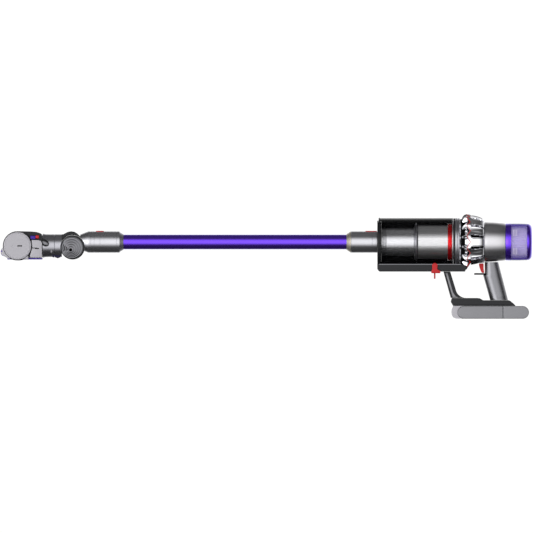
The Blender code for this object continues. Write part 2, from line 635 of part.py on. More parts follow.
def make_head(pitch):
    """The roller housing that swivels on the neck, with its roller, covers, sole and bumper."""
    swivel = pivot("neck_swivel", (NECK_SEAM, 0.0, NECK_Z), pitch)
    centre = (ROLLER_X, 0.0, ROLLER_Z)
    middle = (ROLLER_X, ROLLER_Z)
    neck = ring("neck_front", -1.0530, -1.0256, NECK_RADIUS, 0.0150, "graphite", centre=(0.0, 0.0, NECK_Z))
    outline = (
        arc(middle, 0.0345, 190, 95, 12)
        + [(-1.1080, 0.2059), (-1.0680, 0.2045), (-1.0600, 0.2020), (-1.0533, 0.1960), (-1.0533, 0.1500),
           (-1.0560, 0.1437), (-1.0850, 0.1437), (-1.0890, 0.1470)]
        + arc(middle, 0.0322, -43, 190, 24)
    )
    housing = plate("head_housing", [outline], -HOUSING_HALF_WIDTH, HOUSING_HALF_WIDTH, "dark_grey")
    duct = rod("cut_head_duct", -1.0950, -1.0400, 0.0150, centre=(0.0, 0.0, NECK_Z), segments=SMALL_SEGMENTS)
    cut(housing, duct)

    sole = box(
        "sole_plate", (-1.1350, -HOUSING_HALF_WIDTH, 0.1394), (-1.0540, HOUSING_HALF_WIDTH, 0.1433),
        "purple_plastic",
    )
    mouth = box("cut_suction_mouth", (-1.1285, -0.1060, 0.1300), (-1.0915, 0.1060, 0.1500))
    cut(sole, mouth)
    bumper = plate(
        "front_bumper",
        [[(-1.1490, 0.1645), (-1.1510, 0.1580), (-1.1490, 0.1500), (-1.1350, 0.1436), (-1.1330, 0.1460),
          (-1.1450, 0.1540), (-1.1465, 0.1645)]],
        -HOUSING_HALF_WIDTH, HOUSING_HALF_WIDTH, "purple_plastic",
    )
    drive_cover = turned(
        "drive_end_cover",
        [(HOUSING_HALF_WIDTH + GAP, 0.0), (HOUSING_HALF_WIDTH + GAP, END_CAP_RADIUS),
         (0.1220, END_CAP_RADIUS), (HEAD_HALF_WIDTH, 0.0290), (HEAD_HALF_WIDTH, 0.0)],
        "light_grey", centre=centre, axis="Y",
    )
    carry(swivel, neck, housing, sole, bumper, drive_cover)
    for name, sign in (("side_block_left", -1), ("side_block_right", 1)):
        low, high = sorted((sign * (HOUSING_HALF_WIDTH + GAP), sign * HEAD_HALF_WIDTH))
        block = plate(
            name,
            [[(-1.0780, 0.1437), (-1.0530, 0.1437), (-1.0530, 0.1780)]
             + arc((-1.0600, 0.1780), 0.0070, 0, 90, 5) + [(-1.0740, 0.1850), (-1.0760, 0.1700)]],
            low, high, "light_grey",
        )
        carry(swivel, bevel(block, 0.001, 1))

    cap = turned(
        "end_cap",
        [(-HOUSING_HALF_WIDTH - GAP, 0.0), (-HOUSING_HALF_WIDTH - GAP, END_CAP_RADIUS),
         (-0.1220, END_CAP_RADIUS), (-HEAD_HALF_WIDTH, 0.0290), (-HEAD_HALF_WIDTH, 0.0)],
        "light_grey", centre=centre, axis="Y",
    )
    coin_slot = box("cut_coin_slot", (-1.1090, -0.1300, 0.1700), (-1.1010, -0.1230, 0.1718))
    carry(pivot("end_cap_turn", (ROLLER_X, -HEAD_HALF_WIDTH, ROLLER_Z), swivel), cut(cap, coin_slot))

    core = ring(
        "roller_core", -0.1060, 0.1060, 0.0225, 0.0205, "dark_grey", centre=centre, axis="Y",
        segments=SMALL_SEGMENTS,
    )
    sleeve = ring("roller_sleeve", -0.1040, 0.1040, ROLLER_RADIUS, 0.0228, "nap", centre=centre, axis="Y")
    carry(pivot("roller_spin", centre, swivel), core, sleeve)


def main():
    root = pivot("main_unit", (0.0, 0.0, 0.0))
    make_cyclones(root)
    make_separator(root)
    make_motor(root)
    make_back(root)
    make_handle(root)
    make_base(root)
    make_battery(root)
    make_runner(root)
    make_bin(root)
    wand = make_wand(root)
    base = make_connector(wand)
    pitch = make_neck(base)
    make_head(pitch)


main()
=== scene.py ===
"""Looks of a cordless stick vacuum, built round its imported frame.

Each sub-assembly is a class that builds its meshes and puts them on their bodies. Lengths are
metres, in the frame's own axes: +X towards the filter, -X towards the floor head, +Z up.
"""

from __future__ import annotations

import logging
import math
from collections.abc import Callable, Sequence
from dataclasses import dataclass, field
from enum import Enum

import bmesh
import bpy
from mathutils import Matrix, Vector


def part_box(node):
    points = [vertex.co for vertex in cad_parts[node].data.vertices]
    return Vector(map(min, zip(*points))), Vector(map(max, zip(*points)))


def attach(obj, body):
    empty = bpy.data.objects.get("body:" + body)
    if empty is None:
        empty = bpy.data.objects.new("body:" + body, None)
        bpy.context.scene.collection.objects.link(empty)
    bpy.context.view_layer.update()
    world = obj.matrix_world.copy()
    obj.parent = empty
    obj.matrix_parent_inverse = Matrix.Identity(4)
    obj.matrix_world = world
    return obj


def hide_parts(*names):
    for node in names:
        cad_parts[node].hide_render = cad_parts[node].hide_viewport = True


LOG = logging.getLogger("stick_vacuum")
MM = 0.001
SIDES = (("left", -1), ("right", 1))
WHITE = (1.0, 1.0, 1.0, 1.0)
BACKDROP = 1.05
Point = tuple[float, float]
Place = tuple[float, float, float]
Colour = tuple[float, float, float, float]
Piece = bpy.types.Object
Socket = bpy.types.NodeSocket

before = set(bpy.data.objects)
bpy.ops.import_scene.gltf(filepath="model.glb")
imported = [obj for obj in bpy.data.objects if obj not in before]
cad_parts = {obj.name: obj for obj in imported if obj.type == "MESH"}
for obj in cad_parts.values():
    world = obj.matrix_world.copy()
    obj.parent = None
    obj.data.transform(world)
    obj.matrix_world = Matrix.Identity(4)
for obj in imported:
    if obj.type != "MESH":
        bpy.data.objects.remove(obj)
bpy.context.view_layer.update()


def span(node: str) -> tuple[Vector, Vector]:
    """Lowest and highest corners of a CAD node at rest."""
    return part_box(node)


AXIS_Z = sum(corner.z for corner in span("wand_tube")) / 2
MAIN: Place = (0.0, 0.0, AXIS_Z)
NECK: Place = (0.0, 0.0, 0.1720)


class Axis(Enum):
    """The axis that a turned piece runs along."""

    X = "x"
    Y = "y"


class Pattern(Enum):
    """The fine surface that a finish carries."""

    MOULDED = "moulded"
    BRUSHED = "brushed"
    PERFORATED = "perforated"
    NAP = "nap"
    CLEAR = "clear"
    TINTED = "tinted"
    PLAIN = "plain"


def linear(colour: str) -> Colour:
    """Turns an sRGB hex colour, six digits after a hash, to linear with an alpha of 1."""
    parts = [int(colour[i : i + 2], 16) / 255 for i in (1, 3, 5)]
    values = [c / 12.92 if c <= 0.04045 else ((c + 0.055) / 1.055) ** 2.4 for c in parts]
    return (values[0], values[1], values[2], 1.0)


@dataclass(frozen=True)
class Nodes:
    """A node tree in the making."""

    tree: bpy.types.NodeTree

    def add(
        self, kind: str, inputs: dict | None = None, links: dict | None = None, **settings: object
    ) -> bpy.types.Node:
        """Adds one node with its settings and links.

        Args:
            kind: Blender's name of the node type, without ShaderNode in front.
            inputs: Socket to constant value.
            links: Socket to the output socket that feeds it.
            **settings: Attributes of the node itself.

        Returns:
            The node.
        """
        node = self.tree.nodes.new("ShaderNode" + kind)
        for key, value in settings.items():
            setattr(node, key, value)
        for key, value in (inputs or {}).items():
            node.inputs[key].default_value = value
        for key, source in (links or {}).items():
            self.tree.links.new(source, node.inputs[key])
        return node

    def maths(self, operation: str, first: Socket | float, second: Socket | float = 0.5) -> Socket:
        """The result of a calculation on two numbers or sockets."""
        node = self.add("Math", operation=operation)
        for socket, operand in zip(node.inputs, (first, second)):
            if isinstance(operand, float):
                socket.default_value = operand
            else:
                self.tree.links.new(operand, socket)
        return node.outputs[0]

    def ramp(self, value: Socket, source: Point, target: Point, soft: bool = True) -> Socket:
        """Maps a range of values to another, and holds the ends beyond it.

        Args:
            value: Socket to map.
            source: Ends of its range.
            target: What the ends become.
            soft: Whether the ramp eases in and out.

        Returns:
            The mapped socket.
        """
        ends = {"From Min": source[0], "From Max": source[1], "To Min": target[0], "To Max": target[1]}
        kind = "SMOOTHSTEP" if soft else "LINEAR"
        return self.add("MapRange", ends, {"Value": value}, interpolation_type=kind).outputs[0]

    def output(self, kind: str, others: Socket, camera: Socket) -> None:
        """Ends the tree with one shader for the light and another for what is seen directly."""
        path = self.add("LightPath").outputs["Is Camera Ray"]
        mix = self.add("MixShader", None, {0: path, 1: others, 2: camera})
        self.add(kind, None, {"Surface": mix.outputs[0]})


@dataclass(frozen=True)
class Finish:
    """One material: what it is, how its surface was made, and the numbers that follow."""

    name: str
    slot: str
    colour: str
    roughness: float
    metallic: float = 0.0
    ior: float = 1.5
    coat: float = 0.0
    pattern: Pattern = Pattern.MOULDED
    grain_mm: float = 0.8
    relief_mm: float = 0.02
    second: str = ""
    alpha: float = 1.0

    def material(self) -> bpy.types.Material:
        """The Blender material, made on first use."""
        if self.name in bpy.data.materials:
            return bpy.data.materials[self.name]
        material = bpy.data.materials.new(self.name)
        material.use_nodes = True
        shader = material.node_tree.nodes["Principled BSDF"]
        values = {
            "Base Color": linear(self.colour), "Roughness": self.roughness, "Metallic": self.metallic,
            "Coat Weight": self.coat, "Coat Roughness": 0.12, "Alpha": self.alpha,
        }
        if self.metallic < 0.5:
            values["IOR"] = self.ior
        for key, value in values.items():
            shader.inputs[key].default_value = value
        nodes = Nodes(material.node_tree)
        PATTERNS[self.pattern](Skin(self, nodes, shader, nodes.add("TexCoord").outputs["Object"]))
        return material


@dataclass(frozen=True)
class Skin:
    """The fine surface of a material in the making."""

    finish: Finish
    nodes: Nodes
    shader: bpy.types.Node
    place: Socket

    def feed(self, key: str, source: Socket) -> None:
        """Links a socket to an input of the shader."""
        self.nodes.tree.links.new(source, self.shader.inputs[key])

    def noise(self, size_mm: float, detail: float, place: Socket | None = None) -> Socket:
        """Noise with grains of a given size."""
        inputs = {"Scale": 1 / (size_mm * MM), "Detail": detail}
        return self.nodes.add("TexNoise", inputs, {"Vector": place or self.place}).outputs[0]

    def varied(self, fac: Socket, amount: float) -> None:
        """Lets the colour drift towards the second one, or a darker shade if there is none.

        Args:
            fac: Output socket that steers the drift.
            amount: Share of the second colour at most.
        """
        first, second = linear(self.finish.colour), self.finish.second
        other = linear(second) if second else (*(0.72 * c for c in first[:3]), 1.0)
        share = self.nodes.maths("MULTIPLY", fac, amount)
        mix = self.nodes.add("Mix", {"A": first, "B": other}, {"Factor": share}, data_type="RGBA")
        self.feed("Base Color", mix.outputs["Result"])

    def relief(self, height: Socket, spread: float) -> None:
        """Lets one height map drive the bump and a small change of roughness.

        Args:
            height: Output socket of the height, 0 to 1.
            spread: How far the roughness moves either way.
        """
        inputs = {"Strength": 0.6, "Distance": self.finish.relief_mm * MM}
        self.feed("Normal", self.nodes.add("Bump", inputs, {"Height": height}).outputs["Normal"])
        rough = self.finish.roughness
        ends = (max(rough - spread, 0.03), rough + spread)
        self.feed("Roughness", self.nodes.ramp(height, (0.0, 1.0), ends, soft=False))

    def edge_on(self, ends: Point, densest: float) -> Socket:
        """Makes a wall denser where it is seen edge on: a deeper tint on a tinted wall, painted near black on a clear
        one.
        """
        facing = self.nodes.add("LayerWeight", {"Blend": 0.5}).outputs["Facing"]
        self.feed("Alpha", self.nodes.ramp(facing, ends, (self.finish.alpha, densest)))
        return facing

    def moulded(self) -> None:
        """Spark-eroded tool texture: an even, very fine grain, plus slow drift of shade."""
        self.relief(self.noise(self.finish.grain_mm, 3.0), 0.05)
        self.varied(self.noise(45.0, 2.0), 0.25)

    def brushed(self) -> None:
        """Lines of a drawn and brushed tube: long along X, as fine as the grit across it."""
        stretch = self.nodes.add("Mapping", {"Scale": (0.02, 1.0, 1.0)}, {"Vector": self.place})
        lines = self.noise(self.finish.grain_mm, 4.0, stretch.outputs[0])
        self.relief(lines, 0.06)
        self.varied(lines, 0.18)

    def perforated(self) -> None:
        """Etched sheet: its holes are painted as dark dots on bright metal, painted shade for the dark space behind
        them.
        """
        inputs = {"Scale": 1 / (self.finish.grain_mm * MM), "Randomness": 0.0}
        cells = self.nodes.add("TexVoronoi", inputs, {"Vector": self.place})
        metal = self.nodes.ramp(cells.outputs["Distance"], (0.22, 0.34), (0.0, 1.0), soft=False)
        self.relief(metal, 0.03)
        self.varied(self.nodes.maths("SUBTRACT", 1.0, metal), 0.55)

    def nap(self) -> None:
        """Woven nylon nap: soft tufts, with a sheen where the pile ends catch light."""
        tuft = self.nodes.add("TexVoronoi", {"Scale": 1 / (self.finish.grain_mm * MM)}, {"Vector": self.place})
        self.relief(tuft.outputs["Distance"], 0.05)
        self.varied(tuft.outputs["Distance"], 0.9)
        self.shader.inputs["Sheen Weight"].default_value = 0.5
        self.shader.inputs["Sheen Roughness"].default_value = 0.4

    def clear(self) -> None:
        """Clear polycarbonate, moulded and polished: see-through face on, painted near black edge on as the dark
        reflection and shade seen at its edges.
        """
        self.edge_on((0.36, 0.62), 0.90)

    def tinted(self) -> None:
        """Tinted plastic, polished: thin tint face on, deep colour towards its edges."""
        self.varied(self.edge_on((0.25, 0.80), 1.0), 1.0)

    def plain(self) -> None:
        """Polished surface: only a slow drift of shade."""
        self.varied(self.noise(30.0, 1.0), 0.12)


PATTERNS: dict[Pattern, Callable[[Skin], None]] = {
    Pattern.MOULDED: Skin.moulded,
    Pattern.BRUSHED: Skin.brushed,
    Pattern.PERFORATED: Skin.perforated,
    Pattern.NAP: Skin.nap,
    Pattern.CLEAR: Skin.clear,
    Pattern.TINTED: Skin.tinted,
    Pattern.PLAIN: Skin.plain,
}

# Drawn aluminium tube, dyed purple in the anodising bath and sealed: saturated, with a soft band of light.
ANODISED_PURPLE = Finish(
    "anodised_purple_aluminium", "purple_metal", "#6a44d6", 0.27, metallic=0.92, pattern=Pattern.BRUSHED,
    grain_mm=0.5, relief_mm=0.004, second="#5a30c8",
)


def metallic_paint(name: str, slot: str, colour: str, roughness: float, metallic: float = 0.95,
                   grain_mm: float = 0.3) -> Finish:
    """ABS sprayed with a metal-flake paint: dark away from the light, nearly white in it.

    Args:
        name: Name of the material.
        slot: Its slot.
        colour: Colour of the flakes.
        roughness: How far they scatter.
        metallic: Share of flakes.
        grain_mm: Size of the orange peel.

    Returns:
        The finish.
    """
    return Finish(name, slot, colour, roughness, metallic, grain_mm=grain_mm, relief_mm=0.003)


GRAPHITE_PAINT = metallic_paint("graphite_metallic_paint", "graphite", "#b9b9be", 0.27)
DARK_GRAPHITE_PAINT = metallic_paint("dark_graphite_paint", "graphite", "#a6a6ac", 0.28, 0.92)
SILVER_LACQUER = metallic_paint("satin_silver_lacquer", "satin_silver", "#bbbabd", 0.27)
SATIN_NICKEL = metallic_paint("satin_nickel_paint", "light_grey", "#a8a8ac", 0.26, 0.9, 0.4)
SMOKED_NICKEL = metallic_paint("smoked_nickel_paint", "graphite", "#717175", 0.18, grain_mm=0.4)
# Cyclone cones plated with bright nickel: hard reflections, black where nothing bright is mirrored.
BRIGHT_NICKEL = Finish(
    "bright_nickel_plate", "nickel", "#e6e6ea", 0.15, metallic=1.0, pattern=Pattern.PLAIN, second="#c4c4ca",
)
DARK_ABS = Finish("dark_grey_abs", "dark_grey", "#1d1e21", 0.40, ior=1.30, grain_mm=0.5, relief_mm=0.01)
BLACK_ABS = Finish("black_abs", "black", "#0d0d0f", 0.35, grain_mm=0.5, relief_mm=0.008)
# Battery and grip: mid-grey ABS with a fine spark-eroded grain, the grip's with flakes in it.
GRIP_ABS = Finish("mid_grey_abs", "mid_grey", "#77777b", 0.24, metallic=0.85, grain_mm=0.6, relief_mm=0.012)
BATTERY_ABS = Finish("battery_grey_abs", "mid_grey", "#7d7d81", 0.42, metallic=0.25, grain_mm=0.6, relief_mm=0.015)
LIGHT_ABS = Finish("light_grey_abs", "light_grey", "#aaa8ae", 0.48, grain_mm=0.6, relief_mm=0.012)
# Near-black matt plastic: the finger guard and side slots, and the dark sheets, rings and plugs that paint shade in
# slots, gaps, holes and the bin.
MATT_BLACK = Finish("matt_black_and_painted_shade", "black", "#060607", 0.85, ior=1.12, grain_mm=0.4, relief_mm=0.03)
RED_ABS = Finish("red_abs", "red", "#b60d14", 0.30, ior=1.34, grain_mm=0.6, relief_mm=0.006, second="#8e0a10")
RED_METAL = Finish(
    "red_lacquered_ring", "red", "#d8121b", 0.24, metallic=0.75, pattern=Pattern.PLAIN, second="#a80c13",
)
PURPLE_ABS = Finish(
    "purple_abs", "purple_plastic", "#34148f", 0.30, ior=1.36, grain_mm=0.6, relief_mm=0.006, second="#2a0f86",
)
NAVY_ABS = Finish("navy_abs", "purple_plastic", "#15103a", 0.38, ior=1.28, grain_mm=0.5, relief_mm=0.008)
# Purple polycarbonate of the filter window: its pleats show through it.
PURPLE_WINDOW = Finish(
    "tinted_polycarbonate", "filter_purple", "#9278e4", 0.12, ior=1.58, pattern=Pattern.TINTED,
    second="#2410a4", alpha=0.16,
)
PURPLE_SHELL = Finish(
    "purple_polycarbonate", "filter_purple", "#6036d4", 0.24, metallic=0.9, coat=0.3,
    pattern=Pattern.PLAIN, second="#4a22bc",
)
FILTER_PAPER = Finish("pleated_filter_paper", "pleat_white", "#d9d2e8", 0.85, grain_mm=0.4, relief_mm=0.03)
# Clear bin wall: near black and nearly opaque edge on, painted shade and reflection at the bin's edges.
CLEAR_BIN = Finish(
    "clear_polycarbonate", "clear", "#08080a", 0.06, ior=1.58, pattern=Pattern.CLEAR, alpha=0.05,
)
# Chemically etched steel; the 0.5 mm holes are drawn at 1.6 mm so that they show, painted dark as the shade behind
# them.
ETCHED_STEEL = Finish(
    "etched_steel_sheet", "steel_mesh", "#dadadc", 0.28, metallic=0.95, pattern=Pattern.PERFORATED,
    grain_mm=1.6, relief_mm=0.05, second="#2a2a2c",
)
BRUSHED_STEEL = Finish(
    "brushed_steel_sleeve", "graphite", "#d4d4d8", 0.26, metallic=0.95, pattern=Pattern.BRUSHED,
    grain_mm=0.6, relief_mm=0.004,
)
BLACK_RUBBER = Finish("black_rubber", "rubber_black", "#17171a", 0.62, grain_mm=0.7, relief_mm=0.03)
ROLLER_NAP = Finish(
    "roller_nap", "nap", "#4f2ab0", 0.92, pattern=Pattern.NAP, grain_mm=1.6, relief_mm=0.5, second="#26105e",
)
COPPER_WIRE = Finish(
    "enamelled_copper", "copper", "#b5683c", 0.38, metallic=0.95, pattern=Pattern.BRUSHED, grain_mm=0.4,
)
CELL_SLEEVE = Finish("cell_shrink_sleeve", "cell_green", "#2e6e62", 0.40, coat=0.2, grain_mm=1.0)
TAUPE_ABS = Finish("taupe_abs", "light_grey", "#b8b2a4", 0.34, metallic=0.8, grain_mm=0.5, relief_mm=0.006)


def around(steps: int) -> list[float]:
    """Angles of a full turn in equal steps."""
    return [2 * math.pi * i / steps for i in range(steps)]


def arc(centre: Point, radius: float, start: float, end: float, steps: int = 16) -> list[Point]:
    """Points along an arc, both ends among them.

    Args:
        centre: Centre of the arc.
        radius: Its radius.
        start: First angle in degrees.
        end: Last angle in degrees.
        steps: Number of chords.

    Returns:
        The points.
    """
    angles = [math.radians(start + (end - start) * i / steps) for i in range(steps + 1)]
    return [(centre[0] + radius * math.cos(a), centre[1] + radius * math.sin(a)) for a in angles]


def tube(start: float, end: float, inner: float, outer: float) -> list[Point]:
    """Profile of a plain tube between two places on its axis."""
    return [(start, inner), (start, outer), (end, outer), (end, inner)]


def across(side: int, inner: float, outer: float) -> Point:
    """Low and high Y of a piece on one side, from its distances to the middle plane."""
    return (-outer, -inner) if side < 0 else (inner, outer)


def smooth(low: float, high: float, value: float) -> float:
    """A smooth step from 0 at low to 1 at high."""
    t = min(max((value - low) / (high - low), 0.0), 1.0)
    return t * t * (3 - 2 * t)


def softened(points: Sequence[Point], radius: float, steps: int = 5) -> list[Point]:
    """Rounds the corners of a closed outline.

    Args:
        points: Corners in order.
        radius: How far from each corner the rounding starts.
        steps: Chords of each rounded corner.

    Returns:
        The outline with a curve in place of each sharp corner.
    """
    outline: list[Point] = []
    for i, corner in enumerate(points):
        here = Vector(corner)
        before, after = Vector(points[i - 1]) - here, Vector(points[(i + 1) % len(points)]) - here
        if before.angle(after, 0.0) > math.radians(155):
            outline.append(corner)
            continue
        reach = min(radius, 0.45 * before.length, 0.45 * after.length)
        first, last = here + before.normalized() * reach, here + after.normalized() * reach
        for k in range(steps + 1):
            t = k / steps
            spot = first * (1 - t) ** 2 + here * 2 * t * (1 - t) + last * t**2
            outline.append((spot.x, spot.y))
    return outline


def finished(name: str, shape: bmesh.types.BMesh, finish: Finish, sharp: float = 38.0) -> Piece:
    """Makes an object of a mesh in the making, shaded smooth with its sharp edges kept.

    Args:
        name: Name of the piece.
        shape: Its mesh, which is freed.
        finish: Its material.
        sharp: Angle in degrees over which an edge stays sharp.

    Returns:
        The object, linked to the scene.
    """
    bmesh.ops.remove_doubles(shape, verts=shape.verts, dist=1e-7)
    bmesh.ops.recalc_face_normals(shape, faces=shape.faces)
    mesh = bpy.data.meshes.new(name)
    shape.to_mesh(mesh)
    shape.free()
    mesh.materials.append(finish.material())
    mesh.shade_smooth()
    mesh.set_sharp_from_angle(angle=math.radians(sharp))
    obj = bpy.data.objects.new(name, mesh)
    bpy.context.scene.collection.objects.link(obj)
    return obj


def surface(
    name: str, rows: Sequence[Sequence[Place]], finish: Finish, caps: bool = False, sharp: float = 38.0
) -> Piece:
    """Joins closed rings of points into one skin.

    Args:
        name: Name of the piece.
        rows: Rings with the same number of points.
        finish: Its material.
        caps: Whether the first and last rings are filled; otherwise the last joins the first.
        sharp: Angle in degrees over which an edge stays sharp.

    Returns:
        The object.
    """
    shape = bmesh.new()
    rings = [[shape.verts.new(point) for point in row] for row in rows]
    count = len(rings[0])
    for i in range(len(rings) - 1 if caps else len(rings)):
        upper, lower = rings[i], rings[(i + 1) % len(rings)]
        for j in range(count):
            k = (j + 1) % count
            shape.faces.new((upper[j], upper[k], lower[k], lower[j]))
    if caps:
        shape.faces.new(rings[0])
        shape.faces.new(rings[-1])
    return finished(name, shape, finish, sharp)


def turned(
    name: str,
    profile: Sequence[Point],
    finish: Finish,
    centre: Place = MAIN,
    axis: Axis = Axis.X,
    steps: int = 96,
    soft: float = 0.0,
) -> Piece:
    """A turned piece.

    Args:
        name: Name of the piece.
        profile: Closed outline of (position along the axis, radius).
        finish: Its material.
        centre: Point on the axis; the position along the axis counts from the frame's origin.
        axis: The axis turned about.
        steps: Facets round it.
        soft: Rounding of the profile's corners.

    Returns:
        The object.
    """
    rows = []
    for along, radius in softened(profile, soft) if soft else profile:
        ring = []
        for angle in around(steps):
            c, s = max(radius, 0.0) * math.cos(angle), max(radius, 0.0) * math.sin(angle)
            spot = (along, centre[1] + c, centre[2] + s)
            ring.append(spot if axis is Axis.X else (centre[0] + c, along, centre[2] + s))
        rows.append(ring)
    return surface(name, rows, finish)


def rounded(shape: bmesh.types.BMesh, edges: list, width: float, segments: int = 3) -> None:
    """Rounds edges of a mesh in the making."""
    bmesh.ops.bevel(
        shape, geom=edges, offset=width, segments=segments, profile=0.5, affect="EDGES", clamp_overlap=True
    )


def plate(
    name: str,
    outline: Sequence[Point],
    low: float,
    high: float,
    finish: Finish,
    edge: float = 0.0008,
    segments: int = 3,
) -> Piece:
    """An (x, z) outline given a thickness across Y, with rounded edges.

    Args:
        name: Name of the piece.
        outline: Its corners in order.
        low: Lowest Y.
        high: Highest Y.
        finish: Its material.
        edge: Width of the rounding along its two faces.
        segments: Chords of the rounding.

    Returns:
        The object.
    """
    shape = bmesh.new()
    base = shape.faces.new([shape.verts.new((x, low, z)) for x, z in outline])
    pushed = bmesh.ops.extrude_face_region(shape, geom=[base])
    moved = [v for v in pushed["geom"] if isinstance(v, bmesh.types.BMVert)]
    bmesh.ops.translate(shape, verts=moved, vec=(0.0, high - low, 0.0))
    if edge:
        rims = [e for e in shape.edges if abs(e.verts[0].co.y - e.verts[1].co.y) < 1e-9]
        rounded(shape, rims, edge, segments)
    return finished(name, shape, finish)


def block(name: str, low: Sequence[float], high: Sequence[float], finish: Finish, edge: float = 0.0006) -> Piece:
    """A block between two corners with all edges rounded.

    Args:
        name: Name of the piece.
        low: Lowest corner.
        high: Highest corner.
        finish: Its material.
        edge: Width of the rounding.

    Returns:
        The object.
    """
    shape = bmesh.new()
    bmesh.ops.create_cube(shape, size=1.0)
    for vertex in shape.verts:
        vertex.co = Vector([a + (c + 0.5) * (b - a) for a, b, c in zip(low, high, vertex.co)])
    rounded(shape, list(shape.edges), edge)
    return finished(name, shape, finish)


def joined(name: str, pieces: Sequence[Piece]) -> Piece:
    """One object of several that share a finish; they are used up."""
    first = pieces[0]
    with bpy.context.temp_override(active_object=first, object=first, selected_editable_objects=list(pieces)):
        bpy.ops.object.join()
    first.name = name
    return first


def carved(piece: Piece, cutter: Piece) -> Piece:
    """Cuts one object by another, for good; the cutter is used up."""
    modifier = piece.modifiers.new("cut", "BOOLEAN")
    modifier.object = cutter
    modifier.solver = "EXACT"
    graph = bpy.context.evaluated_depsgraph_get()
    mesh = bpy.data.meshes.new_from_object(piece.evaluated_get(graph))
    piece.modifiers.clear()
    piece.data = mesh
    mesh.shade_smooth()
    mesh.set_sharp_from_angle(angle=math.radians(38))
    bpy.data.objects.remove(cutter, do_unlink=True)
    return piece


def fit(obj: Piece, body: str, *nodes: str) -> None:
    """Puts a piece on its body, hides the CAD nodes that it replaces, and logs the body.

    Args:
        obj: The piece.
        body: Body that it moves with.
        *nodes: CAD nodes that it replaces.
    """
    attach(obj, body)
    if nodes:
        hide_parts(*nodes)
    LOG.info("%s rides on %s", obj.name, body)


def dress(node: str, finish: Finish) -> None:
    """Gives a CAD node that keeps its own shape a finish."""
    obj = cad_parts[node]
    obj.data.materials.clear()
    obj.data.materials.append(finish.material())
    LOG.info("%s keeps its shape", node)


